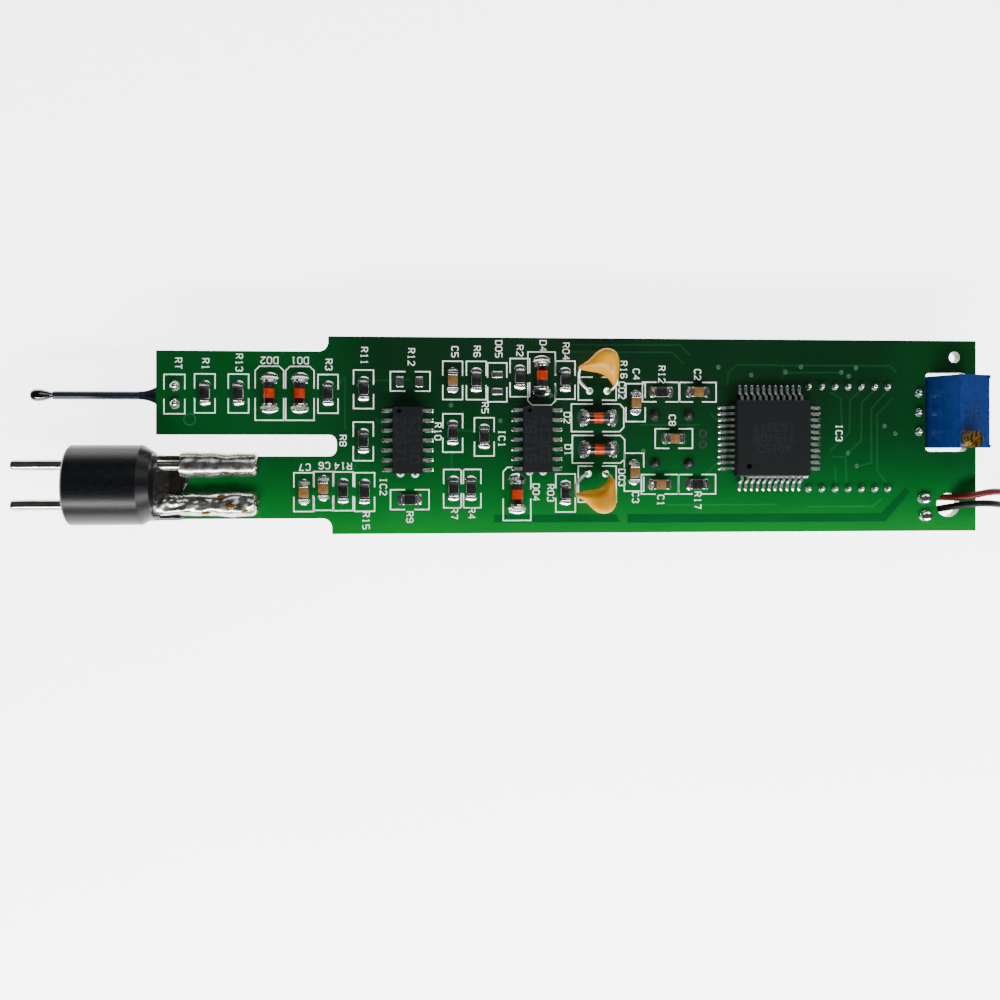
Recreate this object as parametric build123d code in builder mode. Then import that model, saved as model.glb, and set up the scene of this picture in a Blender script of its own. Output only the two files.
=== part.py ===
from build123d import *
import math
import os

# Circuit board assembly of a pen-type water tester (conductivity with temperature).
# Millimetres, +Z up. The display lies face down on Z = 0, the component side looks up.
# X runs from the probe tips to the battery-lead end, Y across the board.
# X = 0 is midway between the probe tips and the board's far edge, Y = 0 the board's middle.

# ---------------------------------------------------------------- board
BOARD_LENGTH = 107.7
BOARD_WIDTH = 25.4
BOARD_THICKNESS = 1.6
DISPLAY_STANDOFF = 2.0
GLASS_THICKNESS = 1.1
POLARISER_THICKNESS = 0.25
PROBE_REACH = 17.7

OVERALL_LENGTH = BOARD_LENGTH + PROBE_REACH
BOARD_BOTTOM = DISPLAY_STANDOFF + 2 * GLASS_THICKNESS + 2 * POLARISER_THICKNESS
BOARD_TOP = BOARD_BOTTOM + BOARD_THICKNESS
RIGHT_END = OVERALL_LENGTH / 2
LEFT_END = RIGHT_END - BOARD_LENGTH
BOARD_MIDDLE = (LEFT_END + RIGHT_END) / 2

# The layout is drawn on a grid over the board, so that a longer or wider board spreads it.
GRID_COLUMNS = 107.7
GRID_ROWS = 25.4


def column(value):
    """X of a layout column, counted from the board's middle."""
    return BOARD_MIDDLE + value * BOARD_LENGTH / GRID_COLUMNS


def row(value):
    """Y of a layout row, counted from the board's middle."""
    return value * BOARD_WIDTH / GRID_ROWS


def spot(place):
    """X and Y of a (column, row) place."""
    return (column(place[0]), row(place[1]))


# Two prongs at the probe end, with a slot between them.
UPPER_PRONG_TOP = row(10.74)
UPPER_PRONG_BOTTOM = row(0.05)
LOWER_PRONG_TOP = row(-2.71)
LOWER_PRONG_BOTTOM = row(-10.68)
UPPER_STEP = column(-32.2)
LOWER_STEP = column(-31.7)
SLOT_END = column(-31.1)
STEP_RADIUS = 1.2
SLOT_RADIUS = 1.0

LOCATING_HOLE = (50.9, 10.5)
LOCATING_HOLE_DIAMETER = 1.5
WIRE_HOLE = (50.0, -9.24)
WIRE_HOLE_DIAMETER = 3.2
PIN_HOLE_DIAMETER = 0.9

# ---------------------------------------------------------------- probe
ELECTRODE_DIAMETER = 1.4
ELECTRODE_SPACING = 5.0
ELECTRODE_SEAT = 12.7
# A groove just inside the holder that the rubber grips.
ELECTRODE_GROOVE_DIAMETER = 1.0
ELECTRODE_GROOVE_LENGTH = 1.2
PROBE_Y = row(-6.3)
PROBE_Z = BOARD_TOP + ELECTRODE_DIAMETER / 2
HOLDER_DIAMETER = 10.1
HOLDER_LENGTH = 10.45
HOLDER_SHOULDER = 1.4
HOLDER_NECK_DIAMETER = 8.3
HOLDER_EDGE = 0.25
POTTING_LENGTH = 3.2
POTTING_OVERLAP = 0.12
POTTING_RISE = 0.8
SOLDER_WIDTH = 3.2
SOLDER_HEIGHT = 1.0

# ---------------------------------------------------------------- thermistor
BEAD_DIAMETER = 1.6
BEAD_LENGTH = 2.6
SENSOR_REACH = 16.2
SLEEVE_DIAMETER = 1.05
SLEEVE_WALL = 0.15
SLEEVE_LENGTH = 10.8
SENSOR_WIRE_DIAMETER = 0.32
SENSOR_ROW = row(5.1)
SENSOR_Z = BOARD_BOTTOM - 0.55
SENSOR_PADS = ((-51.54, 6.29), (-51.54, 4.01))

# ---------------------------------------------------------------- surface-mounted parts
CHIP_LENGTH = 2.0
CHIP_WIDTH = 1.25
RESISTOR_HEIGHT = 0.5
CAPACITOR_HEIGHT = 0.9
CHIP_EDGE = 0.06
RESISTORS_ACROSS = (
    (-47.75, 5.3), (-43.53, 5.3), (-32.21, 5.3), (-30.3, -7.2), (-27.55, -7.3), (-27.68, 5.9),
    (-27.71, -0.8), (-13.17, 7.1), (-7.5, 7.5), (-1.56, 7.2), (-16.22, 0.3), (-12.13, -0.2),
    (-16.11, -6.9), (-13.85, -6.9), (-1.52, -7.5),
)
RESISTORS_ALONG = ((-21.75, -8.3), (11.1, 5.7), (15.89, -6.4))
CAPACITORS_ACROSS = ((-35.26, -7.3), (-32.78, -6.8), (-16.23, 7.1), (7.71, 4.3), (7.51, -4.8))
CAPACITORS_ALONG = ((15.96, 5.7), (12.8, -0.4), (10.96, -6.4))

DIODE_DIAMETER = 1.45
DIODE_LENGTH = 3.5
DIODE_CAP_DIAMETER = 1.55
DIODE_CAP_LENGTH = 0.45
DIODES_ACROSS = {"diode_a": (-39.63, 5.35), "diode_b": (-35.78, 5.35), "diode_c": (-4.66, 7.7),
                 "diode_d": (-7.87, -7.6)}
DIODES_ALONG = {"diode_e": (2.7, 2.3), "diode_f": (2.82, -1.8)}

AMPLIFIERS = {"amplifier_left": (-22.04, -0.64), "amplifier_right": (-5.28, -0.51)}
AMPLIFIER_WIDTH = 3.9
AMPLIFIER_LENGTH = 8.65
AMPLIFIER_HEIGHT = 1.5
AMPLIFIER_SPAN = 6.0
AMPLIFIER_PITCH = 1.27
AMPLIFIER_PINS = 7
AMPLIFIER_LEAD_WIDTH = 0.42

CONTROLLER = (25.6, -0.33)
CONTROLLER_WIDTH = 10.0
CONTROLLER_HEIGHT = 2.0
CONTROLLER_SPAN = 13.2
CONTROLLER_PITCH = 0.8
CONTROLLER_PINS = 11
CONTROLLER_LEAD_WIDTH = 0.35

PACKAGE_STANDOFF = 0.15
PACKAGE_DRAFT = 8.0
LEAD_THICKNESS = 0.18
LEAD_FOOT = 0.75

# ---------------------------------------------------------------- dipped capacitors
DIPPED_WIDTH = 5.4
DIPPED_HEIGHT = 4.4
DIPPED_THICKNESS = 2.3
DIPPED_LEAD_DIAMETER = 0.5
DIPPED_PAD_SPACING = 2.3
DIPPED_LEG_SPACING = 4.4
DIPPED_LEG_DIAMETER = 1.1
DIPPED_LEG_LENGTH = 1.0
DIPPED_RISE = 1.5
DIPPED_LEAN = 50.0
# Pads' middle, shift of the body's foot from it, turn about Z, and the side it leans to.
DIPPED = {
    "dipped_capacitor_upper": ((2.82, 5.8), (-0.4, 2.0), -19.5, 1),
    "dipped_capacitor_lower": ((2.62, -5.0), (-0.4, -1.6), 10.0, -1),
}

# ---------------------------------------------------------------- trimmer
TRIMMER_ROW = 3.15
TRIMMER_WIDTH = 4.83
TRIMMER_LENGTH = 9.53
TRIMMER_HEIGHT = 10.03
TRIMMER_WALL = 0.45
TRIMMER_LEAN = 17.0
TRIMMER_ABOVE_BOARD = 5.7
TRIMMER_FACE_TO_EDGE = 6.4
TRIMMER_BASE = 0.9
WINDOW_CLEARANCE = 0.1
WINDOW_END_CLEARANCE = 0.5
WINDOW_RADIUS = 0.6
TRIMMER_PIN_PITCH = 2.54
TRIMMER_PIN_COLUMN = 46.03
TRIMMER_LEAD_DIAMETER = 0.44
SCREW_INSET_X = 1.27
SCREW_INSET_Y = 1.15
SCREW_HEAD_DIAMETER = 2.2
SCREW_HEAD_HEIGHT = 1.5
SCREW_SLOT_WIDTH = 0.45
SCREW_SLOT_DEPTH = 0.7
SCREW_SLOT_ANGLE = 45.0
SCREW_SHAFT_DIAMETER = 1.2
WORM_DIAMETER = 1.3
WORM_LENGTH = 6.0
WORM_PITCH = 0.6
RUNNING_CLEARANCE = 0.05
ROTOR_TEETH = 28
ROTOR_DIAMETER = 6.2
ROTOR_THICKNESS = 1.3
ROTOR_MESH_GAP = 0.06
ROTOR_AXLE_DIAMETER = 1.0
TOOTH_NOTCH_RADIUS = 0.16
WIPER_THICKNESS = 0.3
ELEMENT_SIZE = 7.4
ELEMENT_THICKNESS = 0.6

# ---------------------------------------------------------------- display
DISPLAY = (36.3, -0.26)
DISPLAY_LENGTH = 17.0
DISPLAY_WIDTH = 12.6
DISPLAY_LEDGE = 1.0
DISPLAY_PINS = 7
DISPLAY_PITCH = 1.8
DISPLAY_ROW_SPACING = 13.54
DISPLAY_PIN_WIDTH = 0.5
DISPLAY_PIN_THICKNESS = 0.3

# ---------------------------------------------------------------- push switch
SWITCH = (12.53, -0.55)
SWITCH_SIDE = 6.0
SWITCH_BASE_HEIGHT = 3.2
SWITCH_COVER_THICKNESS = 0.25
SWITCH_PIN_SPACING_X = 4.5
SWITCH_LEG_WIDTH = 0.7
SWITCH_LEG_THICKNESS = 0.3
PLUNGER_DIAMETER = 3.4
PLUNGER_CLEARANCE = 0.08
PLUNGER_PROUD = 0.85
PLUNGER_TRAVEL = 0.25
PLUNGER_FLANGE_DIAMETER = 4.1
PLUNGER_FLANGE_HEIGHT = 0.6
PLUNGER_BOSS_DIAMETER = 1.6
PLUNGER_BOSS_HEIGHT = 0.6
DOME_THICKNESS = 0.1

# ---------------------------------------------------------------- battery leads
LEAD_DIAMETER = 0.9
# Pads under which the leads are soldered, and where each comes up through the wire hole, both
# counted from the hole's middle.
BATTERY_PADS = {"black": (-3.1, -1.45), "red": (-3.27, 0.89)}
LEAD_EXITS = {"black": (-0.15, -0.36), "red": (0.5, 0.99)}
LEAD_EXIT_DEPTH = 0.3
LEAD_DROP_DEPTH = 1.6
LEAD_DIP_DEPTH = 1.95
LEAD_DIP_SHIFT = {"black": 1.2, "red": 1.9}
LEAD_FIRST_RUN = 1.9
# The free stretch of each lead after its first run: X from the right end, Y from the wire hole's
# middle and Z from the floor.
LEAD_ROUTES = {
    "black": (
        (-1.2, 0.24, 7.95), (0.9, 0.29, 7.65), (3.0, 0.09, 6.75), (4.9, -0.16, 5.35),
        (6.6, -0.26, 3.7), (8.4, -0.16, 2.0), (10.5, 0.09, 0.85), (12.7, 0.19, 0.7),
    ),
    "red": (
        (-0.5, 1.49, 7.95), (1.6, 1.84, 7.7), (3.7, 1.74, 6.75), (5.5, 1.44, 5.3),
        (7.1, 1.19, 3.65), (8.8, 1.04, 2.0), (10.7, 1.04, 0.85), (12.7, 1.09, 0.7),
    ),
}
HANK_RUN = 13.5
HANK_FOLD = 3 * LEAD_DIAMETER
TIE_THICKNESS = 0.25
TIE_WIDTH = 2.0
TIE_PLACE = 6.0
TINNED_DIAMETER = 0.5
TINNED_LENGTH = 2.5
JOINT_DIAMETER = 1.5
JOINT_HEIGHT = 0.7


def save(piece, label):
    """Label a finished piece and write its STEP file."""
    piece.part.label = label
    export_step(piece.part, f"parts/{label}.step")


def wire_through(points, radius, diameter):
    """Round wire along straight runs joined by arcs of one radius."""
    with BuildPart() as wire:
        with BuildLine() as path:
            FilletPolyline(*points, radius=radius)
        with BuildSketch(path.line ^ 0):
            Circle(diameter / 2)
        sweep(path=path.line)
    return wire


os.makedirs("parts", exist_ok=True)

# ---------------------------------------------------------------- shared places
TRIMMER_Y = row(TRIMMER_ROW)
TRIMMER_LEFT_FACE = RIGHT_END - TRIMMER_FACE_TO_EDGE
LEAN = math.radians(TRIMMER_LEAN)
TRIMMER_UP = Vector(math.sin(LEAN), 0, math.cos(LEAN))
TRIMMER_ACROSS = Vector(math.cos(LEAN), 0, -math.sin(LEAN))
TRIMMER_FOOT = (
    Vector(TRIMMER_LEFT_FACE, TRIMMER_Y, BOARD_TOP)
    - TRIMMER_UP * (TRIMMER_HEIGHT - TRIMMER_ABOVE_BOARD)
    + TRIMMER_ACROSS * (TRIMMER_WIDTH / 2)
)
# The trimmer's own frame: Z up its height from the middle of its base, Y along the board's Y.
TRIMMER_PLANE = Plane(origin=TRIMMER_FOOT, x_dir=TRIMMER_ACROSS, z_dir=TRIMMER_UP)

SWITCH_PIN_SPACING_Y = SWITCH_SIDE + SWITCH_LEG_THICKNESS
SWITCH_PLACE = spot(SWITCH)
DISPLAY_PLACE = spot(DISPLAY)
CONTROLLER_PLACE = spot(CONTROLLER)
WIRE_HOLE_PLACE = spot(WIRE_HOLE)


def switch_pins():
    """Places of the push switch's four legs."""
    x, y = SWITCH_PLACE
    half_x = SWITCH_PIN_SPACING_X / 2
    half_y = SWITCH_PIN_SPACING_Y / 2
    return [(x + i * half_x, y + j * half_y) for i in (-1, 1) for j in (-1, 1)]


def display_pins():
    """Places of the display's pins, one row on each long side."""
    x, y = DISPLAY_PLACE
    first = x - DISPLAY_PITCH * (DISPLAY_PINS - 1) / 2
    return [(first + i * DISPLAY_PITCH, y + j * DISPLAY_ROW_SPACING / 2)
            for i in range(DISPLAY_PINS) for j in (-1, 1)]


def trimmer_pins():
    """Places where the trimmer's three leads enter the board."""
    return [(column(TRIMMER_PIN_COLUMN), TRIMMER_Y + i * TRIMMER_PIN_PITCH) for i in (-1, 0, 1)]


def dipped_pins(place):
    """Places of a dipped capacitor's two leads."""
    x, y = spot(place)
    return [(x - DIPPED_PAD_SPACING / 2, y), (x + DIPPED_PAD_SPACING / 2, y)]


def lead_pad(name):
    """Place where one battery lead is soldered."""
    shift_x, shift_y = BATTERY_PADS[name]
    return WIRE_HOLE_PLACE[0] + shift_x, WIRE_HOLE_PLACE[1] + shift_y


def battery_pins():
    """Places where the two battery leads are soldered."""
    return [lead_pad(name) for name in BATTERY_PADS]


def sensor_pins():
    """Places where the two thermistor wires are soldered."""
    return [spot(place) for place in SENSOR_PADS]


# ---------------------------------------------------------------- board
def trimmer_window():
    """Left, right, low and high sides of the opening that the leaning trimmer passes."""
    slant = BOARD_THICKNESS * math.tan(LEAN)
    left = TRIMMER_LEFT_FACE - slant - WINDOW_CLEARANCE
    right = TRIMMER_LEFT_FACE + TRIMMER_WIDTH / math.cos(LEAN) + WINDOW_CLEARANCE
    half = TRIMMER_LENGTH / 2 + WINDOW_END_CLEARANCE
    return left, right, TRIMMER_Y - half, TRIMMER_Y + half


def round_holes(places, diameter):
    """Cut round holes through the sketch in hand."""
    with Locations(*places):
        Circle(diameter / 2, mode=Mode.SUBTRACT)


with BuildPart() as circuit_board:
    with BuildSketch(Plane.XY.offset(BOARD_BOTTOM)) as board_sketch:
        half_width = BOARD_WIDTH / 2
        with BuildLine() as outline:
            Polyline(
                (LEFT_END, UPPER_PRONG_TOP), (UPPER_STEP, UPPER_PRONG_TOP), (UPPER_STEP, half_width),
                (RIGHT_END, half_width), (RIGHT_END, -half_width), (LOWER_STEP, -half_width),
                (LOWER_STEP, LOWER_PRONG_BOTTOM), (LEFT_END, LOWER_PRONG_BOTTOM),
                (LEFT_END, LOWER_PRONG_TOP), (SLOT_END, LOWER_PRONG_TOP),
                (SLOT_END, UPPER_PRONG_BOTTOM), (LEFT_END, UPPER_PRONG_BOTTOM), close=True,
            )
        make_face()
        step_corners = ((UPPER_STEP, UPPER_PRONG_TOP), (LOWER_STEP, LOWER_PRONG_BOTTOM))
        slot_corners = ((SLOT_END, LOWER_PRONG_TOP), (SLOT_END, UPPER_PRONG_BOTTOM))
        for corners, radius in ((step_corners, STEP_RADIUS), (slot_corners, SLOT_RADIUS)):
            for corner in corners:
                fillet(board_sketch.vertices().sort_by_distance((*corner, BOARD_BOTTOM))[0], radius=radius)
        round_holes([spot(LOCATING_HOLE)], LOCATING_HOLE_DIAMETER)
        round_holes([WIRE_HOLE_PLACE], WIRE_HOLE_DIAMETER)
        round_holes(switch_pins() + display_pins() + trimmer_pins(), PIN_HOLE_DIAMETER)
        round_holes(battery_pins() + sensor_pins(), PIN_HOLE_DIAMETER)
        for place, shift, turn, side in DIPPED.values():
            round_holes(dipped_pins(place), PIN_HOLE_DIAMETER)
        low_x, high_x, low_y, high_y = trimmer_window()
        with Locations(((low_x + high_x) / 2, (low_y + high_y) / 2)):
            RectangleRounded(high_x - low_x, high_y - low_y, WINDOW_RADIUS, mode=Mode.SUBTRACT)
    extrude(amount=BOARD_THICKNESS)
save(circuit_board, "circuit_board")


# ---------------------------------------------------------------- probe
HOLDER_FACE = LEFT_END - HOLDER_LENGTH
TIP_X = LEFT_END - PROBE_REACH
ELECTRODE_END = LEFT_END + ELECTRODE_SEAT
ELECTRODE_ROWS = {"upper": PROBE_Y + ELECTRODE_SPACING / 2, "lower": PROBE_Y - ELECTRODE_SPACING / 2}


def cross_plane(x, y, z):
    """Plane across X, with its own X along the board's Y and its own Y up."""
    return Plane(origin=(x, y, z), x_dir=(0, 1, 0), z_dir=(1, 0, 0))


for name, electrode_y in ELECTRODE_ROWS.items():
    with BuildPart() as electrode:
        with BuildSketch(cross_plane(TIP_X, electrode_y, PROBE_Z)):
            Circle(ELECTRODE_DIAMETER / 2)
        extrude(amount=ELECTRODE_END - TIP_X)
        fillet(electrode.edges().group_by(Axis.X)[0], radius=ELECTRODE_DIAMETER / 4)
        with BuildSketch(cross_plane(HOLDER_FACE, electrode_y, PROBE_Z)):
            Circle(ELECTRODE_DIAMETER / 2)
            Circle(ELECTRODE_GROOVE_DIAMETER / 2, mode=Mode.SUBTRACT)
        extrude(amount=ELECTRODE_GROOVE_LENGTH, mode=Mode.SUBTRACT)
    save(electrode, f"electrode_{name}")

with BuildPart() as probe_holder:
    with BuildSketch(Plane(origin=(0, PROBE_Y, PROBE_Z), x_dir=(1, 0, 0), z_dir=(0, -1, 0))):
        with BuildLine():
            Polyline(
                (HOLDER_FACE, 0), (HOLDER_FACE, HOLDER_DIAMETER / 2 - HOLDER_EDGE),
                (HOLDER_FACE + HOLDER_EDGE, HOLDER_DIAMETER / 2),
                (LEFT_END - HOLDER_SHOULDER, HOLDER_DIAMETER / 2),
                (LEFT_END, HOLDER_NECK_DIAMETER / 2), (LEFT_END, 0), close=True,
            )
        make_face()
    revolve(axis=Axis((0, PROBE_Y, PROBE_Z), (1, 0, 0)))
    with BuildSketch(cross_plane(HOLDER_FACE, PROBE_Y, PROBE_Z)):
        with Locations((ELECTRODE_SPACING / 2, 0), (-ELECTRODE_SPACING / 2, 0)):
            Circle(ELECTRODE_DIAMETER / 2)
    extrude(amount=HOLDER_LENGTH, mode=Mode.SUBTRACT)
    with BuildSketch(cross_plane(HOLDER_FACE, PROBE_Y, PROBE_Z)):
        with Locations((ELECTRODE_SPACING / 2, 0), (-ELECTRODE_SPACING / 2, 0)):
            Circle(ELECTRODE_DIAMETER / 2)
            Circle(ELECTRODE_GROOVE_DIAMETER / 2, mode=Mode.SUBTRACT)
    extrude(amount=ELECTRODE_GROOVE_LENGTH)
save(probe_holder, "probe_holder")

# Black potting wraps the end of the lower prong and the roots of the electrodes.
PRONG_MIDDLE = (LOWER_PRONG_TOP + LOWER_PRONG_BOTTOM) / 2
PRONG_WIDTH = LOWER_PRONG_TOP - LOWER_PRONG_BOTTOM
with BuildPart() as probe_potting:
    with BuildSketch(cross_plane(LEFT_END, PRONG_MIDDLE, BOARD_TOP - BOARD_THICKNESS / 2)):
        RectangleRounded(
            PRONG_WIDTH + 2 * POTTING_OVERLAP, BOARD_THICKNESS + 2 * POTTING_RISE, POTTING_RISE / 2
        )
        Rectangle(PRONG_WIDTH, BOARD_THICKNESS, mode=Mode.SUBTRACT)
    extrude(amount=POTTING_LENGTH)
    with BuildSketch(cross_plane(LEFT_END, PROBE_Y, PROBE_Z)):
        with Locations((ELECTRODE_SPACING / 2, 0), (-ELECTRODE_SPACING / 2, 0)):
            Circle(ELECTRODE_DIAMETER / 2)
    extrude(amount=POTTING_LENGTH, mode=Mode.SUBTRACT)
save(probe_potting, "probe_potting")

# A fillet of solder holds each electrode down along its pad.
for name, electrode_y in ELECTRODE_ROWS.items():
    with BuildPart() as solder:
        with BuildSketch(cross_plane(LEFT_END + POTTING_LENGTH, electrode_y, BOARD_TOP)):
            with BuildLine():
                Polyline(
                    (-SOLDER_WIDTH / 2, 0), (-ELECTRODE_DIAMETER / 2, SOLDER_HEIGHT),
                    (ELECTRODE_DIAMETER / 2, SOLDER_HEIGHT), (SOLDER_WIDTH / 2, 0), close=True,
                )
            make_face()
            with Locations((0, ELECTRODE_DIAMETER / 2)):
                Circle(ELECTRODE_DIAMETER / 2, mode=Mode.SUBTRACT)
        extrude(amount=ELECTRODE_END - LEFT_END - POTTING_LENGTH)
    save(solder, f"electrode_solder_{name}")


# ---------------------------------------------------------------- thermistor
BEAD_START = LEFT_END - SENSOR_REACH
SLEEVE_START = BEAD_START + BEAD_LENGTH + 0.3
SLEEVE_END = SLEEVE_START + SLEEVE_LENGTH
WIRE_OFFSET = SENSOR_WIRE_DIAMETER / 2 + 0.02

with BuildPart() as thermistor_bead:
    with BuildSketch(Plane(origin=(BEAD_START, SENSOR_ROW, SENSOR_Z), x_dir=(1, 0, 0), z_dir=(0, -1, 0))):
        with BuildLine():
            Spline(
                (0, 0), (BEAD_LENGTH * 0.38, BEAD_DIAMETER / 2), (BEAD_LENGTH, 0.42),
                tangents=((0, 1), (1, -0.35)),
            )
            Line((BEAD_LENGTH, 0.42), (BEAD_LENGTH, 0))
            Line((BEAD_LENGTH, 0), (0, 0))
        make_face()
    revolve(axis=Axis((0, SENSOR_ROW, SENSOR_Z), (1, 0, 0)))
save(thermistor_bead, "thermistor_bead")

with BuildPart() as thermistor_sleeve:
    with BuildSketch(cross_plane(SLEEVE_START, SENSOR_ROW, SENSOR_Z)):
        Circle(SLEEVE_DIAMETER / 2)
        Circle(SLEEVE_DIAMETER / 2 - SLEEVE_WALL, mode=Mode.SUBTRACT)
    extrude(amount=SLEEVE_LENGTH)
save(thermistor_sleeve, "thermistor_sleeve")

for number, (pad_x, pad_y) in enumerate(sensor_pins(), 1):
    side = 1 if pad_y > SENSOR_ROW else -1
    wire_y = SENSOR_ROW + side * WIRE_OFFSET
    sensor_wire = wire_through(
        [
            (BEAD_START + BEAD_LENGTH, wire_y, SENSOR_Z), (SLEEVE_END + 0.6, wire_y, SENSOR_Z),
            (pad_x, pad_y, SENSOR_Z), (pad_x, pad_y, BOARD_TOP),
        ],
        SENSOR_WIRE_DIAMETER, SENSOR_WIRE_DIAMETER,
    )
    save(sensor_wire, f"thermistor_wire_{number}")


# ---------------------------------------------------------------- surface-mounted parts
def chips(places_across, places_along, height):
    """Chip parts of one height, with their length along Y and along X."""
    with BuildPart() as pieces:
        with Locations(*[(*spot(place), BOARD_TOP + height / 2) for place in places_across]):
            Box(CHIP_WIDTH, CHIP_LENGTH, height)
        with Locations(*[(*spot(place), BOARD_TOP + height / 2) for place in places_along]):
            Box(CHIP_LENGTH, CHIP_WIDTH, height)
        chamfer(pieces.edges().filter_by(Axis.Z), length=CHIP_EDGE)
    return pieces


chip_resistors = chips(RESISTORS_ACROSS, RESISTORS_ALONG, RESISTOR_HEIGHT)
save(chip_resistors, "chip_resistors")
chip_capacitors = chips(CAPACITORS_ACROSS, CAPACITORS_ALONG, CAPACITOR_HEIGHT)
save(chip_capacitors, "chip_capacitors")


def glass_diode(place, direction):
    """Cylindrical glass diode with a metal cap on each end."""
    x, y = spot(place)
    middle = Vector(x, y, BOARD_TOP + DIODE_CAP_DIAMETER / 2)
    start = middle - direction * (DIODE_LENGTH / 2)
    end_caps = (start, middle + direction * (DIODE_LENGTH / 2 - DIODE_CAP_LENGTH))
    with BuildPart() as diode:
        with BuildSketch(Plane(origin=start, z_dir=direction)):
            Circle(DIODE_DIAMETER / 2)
        extrude(amount=DIODE_LENGTH)
        for origin in end_caps:
            with BuildSketch(Plane(origin=origin, z_dir=direction)):
                Circle(DIODE_CAP_DIAMETER / 2)
            extrude(amount=DIODE_CAP_LENGTH)
    return diode


for name, place in DIODES_ACROSS.items():
    save(glass_diode(place, Vector(0, 1, 0)), name)
for name, place in DIODES_ALONG.items():
    save(glass_diode(place, Vector(1, 0, 0)), name)


def package_body(place, width, length, height):
    """Moulded package, its sides drafted both ways from the lead line."""
    x, y = spot(place)
    middle = BOARD_TOP + PACKAGE_STANDOFF + height / 2
    with BuildPart() as body:
        for up in (1, -1):
            with BuildSketch(Plane(origin=(x, y, middle), x_dir=(1, 0, 0), z_dir=(0, 0, up))):
                Rectangle(width, length)
            extrude(amount=height / 2, taper=PACKAGE_DRAFT)
    return body


def gull_leads(rows, body_edge, span, height, width):
    """Gull-wing leads. rows lists (X, Y, angle) of each lead's place on the package's middle lines."""
    knee = BOARD_TOP + PACKAGE_STANDOFF + height / 2
    foot_end = span / 2
    foot_start = foot_end - LEAD_FOOT
    shoulder = (body_edge + foot_start) / 2
    half = LEAD_THICKNESS / 2
    with BuildPart() as leads:
        for x, y, angle in rows:
            turn = math.radians(angle)
            outward = Vector(math.cos(turn), math.sin(turn), 0)
            sideways = Vector(math.sin(turn), -math.cos(turn), 0)
            with BuildSketch(Plane(origin=(x, y, 0), x_dir=outward, z_dir=sideways)):
                with BuildLine():
                    Polyline(
                        (body_edge, knee + half), (shoulder + half, knee + half),
                        (foot_start + half, BOARD_TOP + LEAD_THICKNESS),
                        (foot_end, BOARD_TOP + LEAD_THICKNESS), (foot_end, BOARD_TOP),
                        (foot_start - half, BOARD_TOP), (shoulder - half, knee - half),
                        (body_edge, knee - half), close=True,
                    )
                make_face()
            extrude(amount=width / 2, both=True)
    return leads


def side_rows(place, pins, pitch, angles):
    """Lead places for a package with the same row of leads on each of the given sides."""
    x, y = spot(place)
    found = []
    for angle in angles:
        turn = math.radians(angle)
        for index in range(pins):
            shift = (index - (pins - 1) / 2) * pitch
            found.append((x - math.sin(turn) * shift, y + math.cos(turn) * shift, angle))
    return found


for name, place in AMPLIFIERS.items():
    save(package_body(place, AMPLIFIER_WIDTH, AMPLIFIER_LENGTH, AMPLIFIER_HEIGHT), f"{name}_body")
    lead_rows = side_rows(place, AMPLIFIER_PINS, AMPLIFIER_PITCH, (0, 180))
    amplifier_leads = gull_leads(
        lead_rows, AMPLIFIER_WIDTH / 2, AMPLIFIER_SPAN, AMPLIFIER_HEIGHT, AMPLIFIER_LEAD_WIDTH
    )
    save(amplifier_leads, f"{name}_leads")

save(package_body(CONTROLLER, CONTROLLER_WIDTH, CONTROLLER_WIDTH, CONTROLLER_HEIGHT), "controller_body")
controller_leads = gull_leads(
    side_rows(CONTROLLER, CONTROLLER_PINS, CONTROLLER_PITCH, (0, 90, 180, 270)),
    CONTROLLER_WIDTH / 2, CONTROLLER_SPAN, CONTROLLER_HEIGHT, CONTROLLER_LEAD_WIDTH,
)
save(controller_leads, "controller_leads")


# ---------------------------------------------------------------- dipped capacitors
def dipped_plane(place, shift, turn, side):
    """Plane of a dipped body: origin between its legs, X along them, Y up its leaning height."""
    x, y = spot(place)
    angle = math.radians(turn)
    along = Vector(math.cos(angle), math.sin(angle), 0)
    outward = Vector(-math.sin(angle), math.cos(angle), 0) * side
    lean = math.radians(DIPPED_LEAN)
    rise = outward * math.cos(lean) + Vector(0, 0, 1) * math.sin(lean)
    origin = Vector(x + shift[0], y + side * abs(shift[1]), BOARD_TOP + DIPPED_RISE)
    return Plane(origin=origin, x_dir=along, z_dir=along.cross(rise))


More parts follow.
